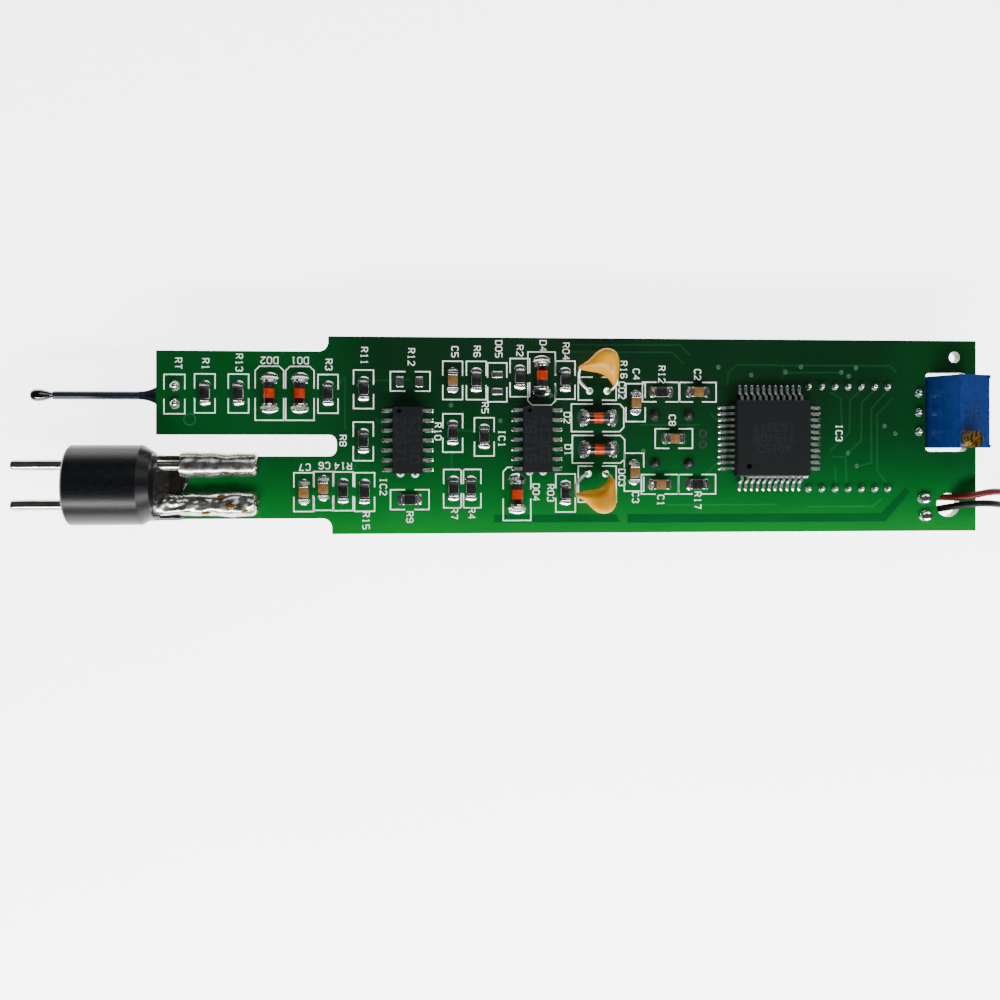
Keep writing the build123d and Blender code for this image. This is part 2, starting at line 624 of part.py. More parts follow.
for name, (place, shift, turn, side) in DIPPED.items():
    body_plane = dipped_plane(place, shift, turn, side)
    leg_places = [(i * DIPPED_LEG_SPACING / 2, 0) for i in (-1, 1)]
    with BuildPart() as dipped_body:
        with BuildSketch(body_plane):
            with Locations((0, DIPPED_LEG_LENGTH / 2 + DIPPED_HEIGHT / 2)):
                Ellipse(DIPPED_WIDTH / 2, DIPPED_HEIGHT / 2)
        extrude(amount=DIPPED_THICKNESS / 2, both=True)
        fillet(dipped_body.edges(), radius=DIPPED_THICKNESS * 0.42)
        for leg_x, leg_y in leg_places:
            foot = body_plane.from_local_coords((leg_x, leg_y, 0))
            head = body_plane.from_local_coords((leg_x * 0.45, DIPPED_LEG_LENGTH + 1.2, 0))
            with BuildSketch(Plane(origin=foot, z_dir=head - foot)):
                Circle(DIPPED_LEG_DIAMETER / 2)
            extrude(amount=(head - foot).length)
    save(dipped_body, name)

    with BuildPart() as dipped_leads:
        for (leg_x, leg_y), (pin_x, pin_y) in zip(leg_places, dipped_pins(place)):
            foot = body_plane.from_local_coords((leg_x, leg_y, 0))
            head = body_plane.from_local_coords((leg_x * 0.45, DIPPED_LEG_LENGTH + 1.2, 0))
            before = foot - (head - foot).normalized() * DIPPED_LEAD_DIAMETER
            with BuildLine() as path:
                FilletPolyline(
                    (pin_x, pin_y, BOARD_BOTTOM), (pin_x, pin_y, BOARD_TOP + 0.5), before, foot,
                    radius=DIPPED_LEAD_DIAMETER * 0.4,
                )
            with BuildSketch(path.line ^ 0):
                Circle(DIPPED_LEAD_DIAMETER / 2)
            sweep(path=path.line)
    save(dipped_leads, f"{name}_leads")


# ---------------------------------------------------------------- trimmer
def trimmer_plane(height):
    """The trimmer's frame, raised from its base by a height."""
    return TRIMMER_PLANE.offset(height)


SCREW_PLACE = (-TRIMMER_WIDTH / 2 + SCREW_INSET_X, -TRIMMER_LENGTH / 2 + SCREW_INSET_Y)
ROTOR_CENTRE_HEIGHT = TRIMMER_BASE + TRIMMER_WALL + ROTOR_DIAMETER / 2 + 0.3
ROTOR_CENTRE_Y = SCREW_PLACE[1] + WORM_DIAMETER / 2 + ROTOR_MESH_GAP + ROTOR_DIAMETER / 2
ROOF_HEIGHT = TRIMMER_HEIGHT - TRIMMER_WALL
CAVITY_WIDTH = TRIMMER_WIDTH - 2 * TRIMMER_WALL
CAVITY_LENGTH = TRIMMER_LENGTH - 2 * TRIMMER_WALL

with BuildPart() as trimmer_housing:
    with BuildSketch(trimmer_plane(0)):
        Rectangle(TRIMMER_WIDTH, TRIMMER_LENGTH)
    extrude(amount=TRIMMER_HEIGHT)
    with BuildSketch(trimmer_plane(0)):
        Rectangle(CAVITY_WIDTH, CAVITY_LENGTH)
    extrude(amount=ROOF_HEIGHT, mode=Mode.SUBTRACT)
    with BuildSketch(trimmer_plane(0)):
        with Locations(SCREW_PLACE):
            Circle(SCREW_SHAFT_DIAMETER / 2 + RUNNING_CLEARANCE)
    extrude(amount=TRIMMER_HEIGHT, mode=Mode.SUBTRACT)
save(trimmer_housing, "trimmer_housing")

with BuildPart() as trimmer_base:
    with BuildSketch(trimmer_plane(0)):
        Rectangle(CAVITY_WIDTH, CAVITY_LENGTH)
    extrude(amount=TRIMMER_BASE)
save(trimmer_base, "trimmer_base")

WORM_TOP = ROTOR_CENTRE_HEIGHT + WORM_LENGTH / 2
with BuildPart() as trimmer_screw:
    with BuildSketch(trimmer_plane(TRIMMER_HEIGHT + RUNNING_CLEARANCE)):
        with Locations(SCREW_PLACE):
            Circle(SCREW_HEAD_DIAMETER / 2)
    extrude(amount=SCREW_HEAD_HEIGHT)
    with BuildSketch(trimmer_plane(TRIMMER_HEIGHT + RUNNING_CLEARANCE + SCREW_HEAD_HEIGHT)):
        with Locations(Location((*SCREW_PLACE, 0), (0, 0, SCREW_SLOT_ANGLE))):
            Rectangle(SCREW_HEAD_DIAMETER * 1.2, SCREW_SLOT_WIDTH)
    extrude(amount=-SCREW_SLOT_DEPTH, mode=Mode.SUBTRACT)
    with BuildSketch(trimmer_plane(WORM_TOP)):
        with Locations(SCREW_PLACE):
            Circle(SCREW_SHAFT_DIAMETER / 2)
    extrude(amount=TRIMMER_HEIGHT + RUNNING_CLEARANCE - WORM_TOP)
    thread_turns = round(WORM_LENGTH / WORM_PITCH)
    with BuildSketch(trimmer_plane(WORM_TOP - WORM_LENGTH)):
        with Locations(SCREW_PLACE):
            Circle(WORM_DIAMETER / 2 - 0.15)
    extrude(amount=WORM_LENGTH)
    for turn in range(thread_turns):
        with BuildSketch(trimmer_plane(WORM_TOP - WORM_LENGTH + (turn + 0.25) * WORM_PITCH)):
            with Locations(SCREW_PLACE):
                Circle(WORM_DIAMETER / 2)
        extrude(amount=WORM_PITCH / 2)
save(trimmer_screw, "trimmer_screw")

# The rotor is the worm's wheel. It turns about the trimmer's own X.
ROTOR_ORIGIN = TRIMMER_PLANE.from_local_coords(
    (SCREW_PLACE[0] - ROTOR_THICKNESS / 2, ROTOR_CENTRE_Y, ROTOR_CENTRE_HEIGHT)
)
ROTOR_PLANE = Plane(origin=ROTOR_ORIGIN, x_dir=(0, 1, 0), z_dir=TRIMMER_ACROSS)
AXLE_HOLE_RADIUS = ROTOR_AXLE_DIAMETER / 2 + RUNNING_CLEARANCE
with BuildPart() as trimmer_rotor:
    with BuildSketch(ROTOR_PLANE):
        Circle(ROTOR_DIAMETER / 2)
        with PolarLocations(ROTOR_DIAMETER / 2, ROTOR_TEETH):
            Circle(TOOTH_NOTCH_RADIUS, mode=Mode.SUBTRACT)
        Circle(AXLE_HOLE_RADIUS, mode=Mode.SUBTRACT)
    extrude(amount=ROTOR_THICKNESS)
save(trimmer_rotor, "trimmer_rotor")

with BuildPart() as trimmer_wiper:
    with BuildSketch(ROTOR_PLANE.offset(ROTOR_THICKNESS)):
        Circle(ROTOR_AXLE_DIAMETER)
        with Locations((0, ROTOR_DIAMETER / 4)):
            SlotOverall(ROTOR_DIAMETER / 2, ROTOR_AXLE_DIAMETER * 0.8, rotation=90)
        Circle(AXLE_HOLE_RADIUS, mode=Mode.SUBTRACT)
    extrude(amount=WIPER_THICKNESS)
save(trimmer_wiper, "trimmer_wiper")

with BuildPart() as trimmer_axle:
    with BuildSketch(ROTOR_PLANE):
        Circle(ROTOR_AXLE_DIAMETER / 2)
    extrude(amount=ROTOR_THICKNESS + WIPER_THICKNESS + RUNNING_CLEARANCE)
save(trimmer_axle, "trimmer_axle")

with BuildPart() as trimmer_element:
    with BuildSketch(ROTOR_PLANE.offset(ROTOR_THICKNESS + WIPER_THICKNESS + RUNNING_CLEARANCE)):
        with Locations((CAVITY_LENGTH / 2 - ELEMENT_SIZE / 2 - ROTOR_CENTRE_Y, 0)):
            Rectangle(ELEMENT_SIZE, ELEMENT_SIZE)
    extrude(amount=ELEMENT_THICKNESS)
save(trimmer_element, "trimmer_element")

LEAD_DROP = 0.55
with BuildPart() as trimmer_leads:
    for (pin_x, pin_y) in trimmer_pins():
        start = TRIMMER_PLANE.from_local_coords((-0.9, pin_y - TRIMMER_Y, 0))
        below = start - TRIMMER_UP * LEAD_DROP
        outside = pin_x - TRIMMER_LEAD_DIAMETER * 1.35
        with BuildLine() as path:
            FilletPolyline(
                start, below, (outside, pin_y, below.Z - 0.05), (outside, pin_y, BOARD_BOTTOM - 1.9),
                (pin_x, pin_y, BOARD_BOTTOM - 0.5), (pin_x, pin_y, BOARD_TOP),
                radius=TRIMMER_LEAD_DIAMETER * 0.6,
            )
        with BuildSketch(path.line ^ 0):
            Circle(TRIMMER_LEAD_DIAMETER / 2)
        sweep(path=path.line)
save(trimmer_leads, "trimmer_leads")


# ---------------------------------------------------------------- display
def display_layer(bottom, thickness, width):
    """One flat layer of the display."""
    with BuildPart() as layer:
        with BuildSketch(Plane.XY.offset(bottom)):
            with Locations(DISPLAY_PLACE):
                Rectangle(DISPLAY_LENGTH, width)
        extrude(amount=thickness)
    return layer


REAR_WIDTH = DISPLAY_WIDTH - 2 * DISPLAY_LEDGE
FRONT_GLASS_BOTTOM = POLARISER_THICKNESS
REAR_GLASS_BOTTOM = FRONT_GLASS_BOTTOM + GLASS_THICKNESS
REFLECTOR_BOTTOM = REAR_GLASS_BOTTOM + GLASS_THICKNESS
save(display_layer(0, POLARISER_THICKNESS, REAR_WIDTH), "display_front_polariser")
save(display_layer(FRONT_GLASS_BOTTOM, GLASS_THICKNESS, DISPLAY_WIDTH), "display_front_glass")
save(display_layer(REAR_GLASS_BOTTOM, GLASS_THICKNESS, REAR_WIDTH), "display_rear_glass")
save(display_layer(REFLECTOR_BOTTOM, POLARISER_THICKNESS, REAR_WIDTH), "display_reflector")

with BuildPart() as display_pins_part:
    for (pin_x, pin_y) in display_pins():
        side = 1 if pin_y > DISPLAY_PLACE[1] else -1
        edge = DISPLAY_PLACE[1] + side * DISPLAY_WIDTH / 2
        toe = edge - side * DISPLAY_LEDGE * 0.8
        foot = REAR_GLASS_BOTTOM
        with BuildSketch(Plane(origin=(pin_x, 0, 0), x_dir=(0, 1, 0), z_dir=(1, 0, 0))):
            outer = pin_y + side * DISPLAY_PIN_THICKNESS / 2
            inner = pin_y - side * DISPLAY_PIN_THICKNESS / 2
            with BuildLine():
                Polyline(
                    (toe, foot), (outer, foot), (outer, BOARD_TOP), (inner, BOARD_TOP),
                    (inner, foot + DISPLAY_PIN_THICKNESS), (toe, foot + DISPLAY_PIN_THICKNESS),
                    close=True,
                )
            make_face()
        extrude(amount=DISPLAY_PIN_WIDTH / 2, both=True)
save(display_pins_part, "display_pins")


# ---------------------------------------------------------------- push switch
SWITCH_BOTTOM = BOARD_BOTTOM - SWITCH_BASE_HEIGHT
FLANGE_BOTTOM = SWITCH_BOTTOM + PLUNGER_CLEARANCE
FLANGE_TOP = FLANGE_BOTTOM + PLUNGER_FLANGE_HEIGHT
BOSS_TOP = FLANGE_TOP + PLUNGER_BOSS_HEIGHT
DOME_BOTTOM = BOSS_TOP + PLUNGER_TRAVEL + PLUNGER_CLEARANCE

with BuildPart() as switch_base:
    with BuildSketch(Plane.XY.offset(SWITCH_BOTTOM)):
        with Locations(SWITCH_PLACE):
            Rectangle(SWITCH_SIDE, SWITCH_SIDE)
    extrude(amount=SWITCH_BASE_HEIGHT)
    with BuildSketch(Plane.XY.offset(SWITCH_BOTTOM)):
        with Locations(SWITCH_PLACE):
            Circle(PLUNGER_FLANGE_DIAMETER / 2 + PLUNGER_CLEARANCE)
    extrude(amount=DOME_BOTTOM + DOME_THICKNESS - SWITCH_BOTTOM, mode=Mode.SUBTRACT)
save(switch_base, "switch_base")

with BuildPart() as switch_dome:
    with BuildSketch(Plane.XY.offset(DOME_BOTTOM)):
        with Locations(SWITCH_PLACE):
            Circle(PLUNGER_FLANGE_DIAMETER / 2)
    extrude(amount=DOME_THICKNESS)
save(switch_dome, "switch_dome")

with BuildPart() as switch_cover:
    with BuildSketch(Plane.XY.offset(SWITCH_BOTTOM - SWITCH_COVER_THICKNESS)):
        with Locations(SWITCH_PLACE):
            Rectangle(SWITCH_SIDE, SWITCH_SIDE)
            Circle(PLUNGER_DIAMETER / 2 + PLUNGER_CLEARANCE, mode=Mode.SUBTRACT)
    extrude(amount=SWITCH_COVER_THICKNESS)
save(switch_cover, "switch_cover")

with BuildPart() as switch_plunger:
    plunger_bottom = SWITCH_BOTTOM - SWITCH_COVER_THICKNESS - PLUNGER_PROUD
    for bottom, top, diameter in (
        (plunger_bottom, FLANGE_BOTTOM, PLUNGER_DIAMETER),
        (FLANGE_BOTTOM, FLANGE_TOP, PLUNGER_FLANGE_DIAMETER),
        (FLANGE_TOP, BOSS_TOP, PLUNGER_BOSS_DIAMETER),
    ):
        with BuildSketch(Plane.XY.offset(bottom)):
            with Locations(SWITCH_PLACE):
                Circle(diameter / 2)
        extrude(amount=top - bottom)
save(switch_plunger, "switch_plunger")

with BuildPart() as switch_legs:
    for (leg_x, leg_y) in switch_pins():
        with BuildSketch(Plane.XY.offset(SWITCH_BOTTOM + 0.6)):
            with Locations((leg_x, leg_y)):
                Rectangle(SWITCH_LEG_WIDTH, SWITCH_LEG_THICKNESS)
        extrude(amount=BOARD_TOP - SWITCH_BOTTOM - 0.6)
save(switch_legs, "switch_legs")


# ---------------------------------------------------------------- solder joints
def solder_joints(places):
    """Domed solder joints standing on the component side."""
    with BuildPart() as joints:
        for place in places:
            with BuildSketch(Plane.XY.offset(BOARD_TOP)):
                with Locations(place):
                    Circle(JOINT_DIAMETER / 2)
            extrude(amount=JOINT_HEIGHT, taper=35)
    return joints


save(solder_joints(display_pins()), "display_joints")
save(solder_joints(switch_pins()), "switch_joints")
save(solder_joints(trimmer_pins()), "trimmer_joints")
save(solder_joints(sensor_pins()), "thermistor_joints")
save(solder_joints(battery_pins()), "battery_joints")


# ---------------------------------------------------------------- battery leads
def lead_exit(name):
    """Point where a lead's held root ends inside the wire hole."""
    shift_x, shift_y = LEAD_EXITS[name]
    x, y = WIRE_HOLE_PLACE
    return Vector(x + shift_x, y + shift_y, BOARD_TOP - LEAD_EXIT_DEPTH)


def lead_dip(name):
    """Lowest corner of a lead's root, under the board between its joint and the hole."""
    pad = Vector(*lead_pad(name), 0)
    way = lead_exit(name) - pad
    way = Vector(way.X, way.Y, 0).normalized()
    return pad + way * LEAD_DIP_SHIFT[name] + Vector(0, 0, BOARD_BOTTOM - LEAD_DIP_DEPTH)


def lead_points(name):
    """Route of a lead's free stretch, from the wire hole to the hank."""
    leave = lead_exit(name)
    way = (leave - lead_dip(name)).normalized()
    route = [Vector(RIGHT_END + x, WIRE_HOLE_PLACE[1] + y, z) for x, y, z in LEAD_ROUTES[name]]
    return [leave, leave + way * LEAD_FIRST_RUN, *route]


def bend_radii(points):
    """Largest tangent arc at each corner that its two runs allow."""
    radii = []
    for before, corner, after in zip(points, points[1:], points[2:]):
        arriving = corner - before
        leaving = after - corner
        turn = math.radians(arriving.get_angle(leaving))
        radii.append(0.45 * min(arriving.length, leaving.length) / math.tan(turn / 2))
    return radii


for name in BATTERY_PADS:
    pad_x, pad_y = lead_pad(name)
    root_points = [
        Vector(pad_x, pad_y, BOARD_BOTTOM), Vector(pad_x, pad_y, BOARD_BOTTOM - LEAD_DROP_DEPTH),
        lead_dip(name), lead_exit(name),
    ]
    root = wire_through(root_points, min(bend_radii(root_points)), LEAD_DIAMETER)
    save(root, f"battery_lead_root_{name}")

    points = lead_points(name)
    radii = bend_radii(points)
    with BuildPart() as lead:
        with BuildLine() as path:
            FilletPolyline(*points, radius=radii)
        with BuildSketch(path.line ^ 0):
            Circle(LEAD_DIAMETER / 2)
        sweep(path=path.line)
    save(lead, f"battery_lead_{name}")
    section = math.pi * LEAD_DIAMETER ** 2 / 4
    print(name, "bend radii", [round(radius, 2) for radius in radii])
    print(name, "length", round(path.wires()[0].length, 2), "by volume", round(lead.part.volume / section, 2))

# The leads lie nested in one flat hank, folded once, in line with the board and held by a tie.
HANK_START = RIGHT_END + LEAD_ROUTES["black"][-1][0]
HANK_LOW = lead_points("black")[-1].Y - LEAD_DIAMETER / 2
HANK_HIGH = lead_points("red")[-1].Y + HANK_FOLD + 1.5 * LEAD_DIAMETER
HANK_MIDDLE = (HANK_LOW + HANK_HIGH) / 2
HANK_HALF = (HANK_HIGH - HANK_LOW) / 2

with BuildPart() as lead_hank:
    with BuildSketch(Plane.XY.offset(TIE_THICKNESS)):
        with Locations((HANK_START + HANK_RUN / 2, HANK_MIDDLE)):
            Rectangle(HANK_RUN, 2 * HANK_HALF)
        with Locations((HANK_START + HANK_RUN, HANK_MIDDLE)):
            Circle(HANK_HALF)
    extrude(amount=LEAD_DIAMETER)
save(lead_hank, "lead_hank")

with BuildPart() as lead_tie:
    with BuildSketch(cross_plane(HANK_START + TIE_PLACE, HANK_MIDDLE, TIE_THICKNESS + LEAD_DIAMETER / 2)):
        Rectangle(2 * (HANK_HALF + TIE_THICKNESS), LEAD_DIAMETER + 2 * TIE_THICKNESS)
        Rectangle(2 * HANK_HALF, LEAD_DIAMETER, mode=Mode.SUBTRACT)
    extrude(amount=TIE_WIDTH)
save(lead_tie, "lead_tie")

TIP_ROWS = {"red": HANK_HIGH - 1.5 * LEAD_DIAMETER, "black": HANK_HIGH - LEAD_DIAMETER / 2}
for name, tip_y in TIP_ROWS.items():
    with BuildPart() as tip:
        with BuildSketch(cross_plane(HANK_START - TINNED_LENGTH, tip_y, TIE_THICKNESS + LEAD_DIAMETER / 2)):
            Circle(TINNED_DIAMETER / 2)
        extrude(amount=TINNED_LENGTH)
    save(tip, f"tinned_end_{name}")
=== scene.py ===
"""Looks of a pen-type water tester's circuit board assembly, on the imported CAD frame.

Every length below is in millimetres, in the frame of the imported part: X from the probe tips
to the battery leads, Y across the board, Z up from the display's face. MM turns them to metres.
"""

import logging
import math
from dataclasses import dataclass, field
from enum import Enum
from typing import Sequence

import bmesh
import bpy
from mathutils import Matrix, Vector, noise


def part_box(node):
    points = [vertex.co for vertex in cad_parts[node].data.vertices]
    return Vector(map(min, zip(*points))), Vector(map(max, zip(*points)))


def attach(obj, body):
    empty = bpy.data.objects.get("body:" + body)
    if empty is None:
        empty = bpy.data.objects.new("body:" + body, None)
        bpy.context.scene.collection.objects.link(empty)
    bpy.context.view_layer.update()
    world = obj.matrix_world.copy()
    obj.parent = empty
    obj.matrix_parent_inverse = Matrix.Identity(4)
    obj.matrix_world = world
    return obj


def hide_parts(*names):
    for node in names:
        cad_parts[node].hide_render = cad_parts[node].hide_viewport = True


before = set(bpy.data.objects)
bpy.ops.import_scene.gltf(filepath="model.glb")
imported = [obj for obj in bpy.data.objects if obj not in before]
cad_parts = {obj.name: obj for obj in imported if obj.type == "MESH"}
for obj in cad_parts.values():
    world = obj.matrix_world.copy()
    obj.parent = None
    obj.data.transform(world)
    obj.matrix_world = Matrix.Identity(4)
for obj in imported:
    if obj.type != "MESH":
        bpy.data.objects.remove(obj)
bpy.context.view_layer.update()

LOG = logging.getLogger("water_tester")
MM = 0.001
BOARD_BODY = "board_assembly"
ORIGIN = Vector((0, 0, 0))
UP = Vector((0, 0, 1))
# How far screen-printed ink and a fine mark stand proud of what they are on.
PRINT_RISE = 0.018
MARK_RISE = 0.012
# Half length and half width of the outline printed round a chip part and round a diode.
CHIP_OUTLINE = (2.48, 1.28)
DIODE_OUTLINE = (3.45, 1.8)
# A character's height, its distance to the next and the gap between two, in steps of its grid.
LETTER_STEPS, LETTER_PITCH, LETTER_GAP = 6, 5.9, 1.9

Point = tuple[float, float, float]
Flat = tuple[float, float]
Box = tuple[Vector, Vector]
Mesh = bmesh.types.BMesh
Tree = bpy.types.NodeTree
Socket = bpy.types.NodeSocket


# ---------------------------------------------------------------- small helpers
def linear_colour(code: str) -> tuple[float, float, float, float]:
    """Turn an sRGB hex colour into linear RGBA.

    Args:
        code: Six hex digits, with or without a leading "#".

    Returns:
        Linear red, green and blue, and an alpha of one.
    """
    digits = code.lstrip("#")
    parts = [int(digits[i:i + 2], 16) / 255 for i in (0, 2, 4)]
    red, green, blue = [p / 12.92 if p <= 0.04045 else ((p + 0.055) / 1.055) ** 2.4 for p in parts]
    return red, green, blue, 1.0


def add_node(tree: Tree, kind: str, settings: dict | None = None, **inputs) -> bpy.types.Node:
    """Add one shader node with its settings and links.

    Args:
        tree: The material's node tree.
        kind: The node's type name.
        settings: Attribute values of the node itself.
        **inputs: Value or output socket for each input: "i" and a number, or a name with "_" for a space.

    Returns:
        The new node.
    """
    node = tree.nodes.new(kind)
    for key, value in (settings or {}).items():
        setattr(node, key, value)
    for key, value in inputs.items():
        numbered = key[0] == "i" and key[1:].isdigit()
        target = node.inputs[int(key[1:]) if numbered else key.replace("_", " ")]
        if isinstance(value, Socket):
            tree.links.new(value, target)
        else:
            target.default_value = value
    return node


def mapped(tree: Tree, value: Socket, start: float, end: float, low: float = 0.0, high: float = 1.0) -> Socket:
    """Value carried from the range start to end onto the range low to high, and held past both ends."""
    return add_node(tree, "ShaderNodeMapRange", i0=value, i1=start, i2=end, i3=low, i4=high).outputs["Result"]


def worked(tree: Tree, operation: str, *values: Socket | float) -> Socket:
    """Result of one sum on the values."""
    inputs = {f"i{index}": value for index, value in enumerate(values)}
    return add_node(tree, "ShaderNodeMath", {"operation": operation}, **inputs).outputs["Value"]


def mixed(tree: Tree, share: Socket, first: Socket, second: Socket) -> Socket:
    """Colour between two colours, the second one where the share is one."""
    return add_node(tree, "ShaderNodeMix", {"data_type": "RGBA"}, i0=share, i6=first, i7=second).outputs[2]


def node_box(node: str) -> Box:
    """Lowest and highest corners of a CAD node, in millimetres."""
    low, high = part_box(node)
    return Vector(low) / MM, Vector(high) / MM


def islands(node: str) -> list[Box]:
    """Find the separate solids of a CAD node.

    Args:
        node: Name of the CAD node.

    Returns:
        Lowest and highest corner of each solid in millimetres, ordered by X and then Y.
    """
    source = bmesh.new()
    source.from_mesh(bpy.data.objects[node].data)
    bmesh.ops.remove_doubles(source, verts=source.verts, dist=1e-7)
    waiting = set(source.verts)
    found = []
    while waiting:
        stack = [waiting.pop()]
        group = list(stack)
        while stack:
            for edge in stack.pop().link_edges:
                fresh = [vert for vert in edge.verts if vert in waiting]
                waiting.difference_update(fresh)
                stack += fresh
                group += fresh
        corners = [v.co / MM for v in group]
        found.append(tuple(Vector([pick(c[i] for c in corners) for i in range(3)]) for pick in (min, max)))
    source.free()
    return sorted(found, key=lambda pair: (round(pair[0].x, 2), pair[0].y))


# ---------------------------------------------------------------- finishes
@dataclass(frozen=True)
class Finish:
    """A plain procedural finish: two close colours, a grain, and a fine bump.

    Attributes:
        name: What the real material is.
        colour: Main sRGB colour.
        second: Colour that the variation runs to.
        roughness: Middle roughness of the surface.
        metallic: One for metals.
        grain: Size of the colour and roughness variation.
        bump: Height of the surface's unevenness.
        coat: Strength of a clear layer on top.
        spread: How far the roughness varies either way.
        ior: Refractive index, left at the default on metals.
        gloss: Strength of its plain reflection, a half on a clean surface.
    """

    name: str
    colour: str
    second: str
    roughness: float = 0.5
    metallic: float = 0.0
    grain: float = 0.5
    bump: float = 0.0
    coat: float = 0.0
    spread: float = 0.05
    ior: float = 1.5
    gloss: float = 0.5

    def material(self) -> bpy.types.Material:
        """The finish's material, made on first use."""
        made = bpy.data.materials.get(self.name)
        if not made:
            made = bpy.data.materials.new(self.name)
            made.use_nodes = True
            made.node_tree.nodes.clear()
            self.dress(made.node_tree)
        return made

    def place(self, tree: Tree) -> Socket:
        """Coordinates in the part's own frame."""
        return add_node(tree, "ShaderNodeTexCoord").outputs["Object"]

    def noise(self, tree: Tree, size: float) -> Socket:
        """Smooth noise whose blotches are about the given size."""
        scale = 1 / (size * MM)
        return add_node(tree, "ShaderNodeTexNoise", Vector=self.place(tree), Scale=scale, Detail=3.0).outputs["Fac"]

    def lines(self, tree: Tree, axis: str, pitch: float, waver: float) -> Socket:
        """Parallel bands across an axis.

        Args:
            tree: The material's node tree.
            axis: Letter of the axis.
            pitch: Distance between bands.
            waver: How far they stray from straight.

        Returns:
            Nought to one across each band.
        """
        settings = {"wave_type": "BANDS", "bands_direction": axis}
        return add_node(
            tree, "ShaderNodeTexWave", settings, Vector=self.place(tree), Scale=1 / (pitch * MM * 6), Distortion=waver
        ).outputs["Fac"]

    def blend(self, tree: Tree, amount: Socket, low: str, high: str, start: float = 0.35,
              end: float = 0.65) -> Socket:
        """Run from one colour to another.

        Args:
            tree: The material's node tree.
            amount: What the colour follows.
            low: sRGB hex colour up to the start.
            high: sRGB hex colour from the end on.
            start: Amount at which the change starts.
            end: Amount at which it ends.

        Returns:
            The colour.
        """
        ramp = add_node(tree, "ShaderNodeValToRGB", Fac=amount)
        for element, position, code in zip(ramp.color_ramp.elements, (start, end), (low, high)):
            element.position = position
            element.color = linear_colour(code)
        return ramp.outputs["Color"]

    def pattern(self, tree: Tree) -> Socket:
        """What the colour and the roughness vary with."""
        return self.noise(tree, self.grain)

    def tint(self, tree: Tree, amount: Socket) -> Socket:
        """Colour of the surface."""
        return self.blend(tree, amount, self.colour, self.second)

    def height(self, tree: Tree, amount: Socket) -> Socket:
        """What the surface's unevenness follows."""
        return self.noise(tree, self.grain * 0.4)

    def extra(self) -> dict[str, object]:
        """Further inputs of the principled surface."""
        return {}

    def dress(self, tree: Tree) -> None:
        """Build the finish's nodes.

        Args:
            tree: The material's node tree.
        """
        amount = self.pattern(tree)
        inputs = self.extra()
        if self.bump:
            height = self.height(tree, amount)
            bump = add_node(tree, "ShaderNodeBump", Height=height, Distance=self.bump * MM, Strength=1.0)
            inputs["Normal"] = bump.outputs["Normal"]
        if not self.metallic:
            inputs["IOR"] = self.ior
        low, high = max(self.roughness - self.spread, 0.02), min(self.roughness + self.spread, 1.0)
        surface = add_node(
            tree, "ShaderNodeBsdfPrincipled", Base_Color=self.tint(tree, amount),
            Roughness=mapped(tree, amount, 0.0, 1.0, low, high), Metallic=self.metallic,
            Coat_Weight=self.coat, Specular_IOR_Level=self.gloss, **inputs,
        )
        add_node(tree, "ShaderNodeOutputMaterial", Surface=surface.outputs["BSDF"])


@dataclass(frozen=True)
class Metal(Finish):
    """A bare metal."""

    metallic: float = 1.0


@dataclass(frozen=True)
class Turned(Metal):
    """A metal with fine turned lines across one axis, with their pitch given by the grain."""

    axis: str = "Z"

    def pattern(self, tree: Tree) -> Socket:
        """The turned lines."""
        return self.lines(tree, self.axis, self.grain, 1.5)

    def height(self, tree: Tree, amount: Socket) -> Socket:
        """The same lines again."""
        return amount


@dataclass(frozen=True)
class ClearGlass(Finish):
    """Tinted clear glass."""

    through: float = 1.0

    def extra(self) -> dict[str, object]:
        """Let light through."""
        return {"Transmission_Weight": self.through}


@dataclass(frozen=True)
class LitSheet(Finish):
    """A white diffusing sheet that glows evenly."""

    glow: float = 4.0

    def extra(self) -> dict[str, object]:
        """Give off a steady light."""
        return {"Emission_Color": linear_colour("#ffffff"), "Emission_Strength": self.glow}


@dataclass(frozen=True)
class Mask(Finish):
    """Green solder mask with painted shade that darkens it toward the board's upper side.

    Attributes:
        deep: sRGB hex colour of the painted shade, toward the board's upper side.
        span: Rows in millimetres where the change starts and ends.
        bend: Power that the change follows.
        ends: Columns past which the painted shade is partly lifted.
        fade: Length of the change there.
        bare: How much lighter the mask is past those columns, up to one: the painted shade lifted there.
    """

    roughness: float = 0.3
    coat: float = 0.04
    gloss: float = 0.32
    # Painted shade: the mask's colour toward the board's upper side.
    deep: str = "#00260d"
    span: Flat = (9.0, -12.2)
    bend: float = 2.6
    ends: Flat = (-17.0, 49.0)
    fade: float = 11.0
    bare: float = 0.24

    def tint(self, tree: Tree, amount: Socket) -> Socket:
        """Colour of the mask, from painted shade at the upper side to full colour at the lower edge.

        Args:
            tree: The material's node tree.
            amount: What the colour varies with.

        Returns:
            The colour.
        """
        place = add_node(tree, "ShaderNodeSeparateXYZ", Vector=self.place(tree)).outputs
        # Painted shade: the mask darkens toward the upper side, and less past the two end columns.
        share = mapped(tree, place["Y"], self.span[0] * MM, self.span[1] * MM)
        curve = worked(tree, "POWER", share, self.bend)
        for end, sign in zip(self.ends, (-1, 1)):
            bare = mapped(tree, place["X"], end * MM, (end + sign * self.fade) * MM, 0.0, self.bare)
            curve = worked(tree, "MAXIMUM", curve, bare)
        full = self.blend(tree, amount, self.colour, self.second, 0.3, 0.7)
        return mixed(tree, curve, self.blend(tree, amount, self.deep, self.deep), full)


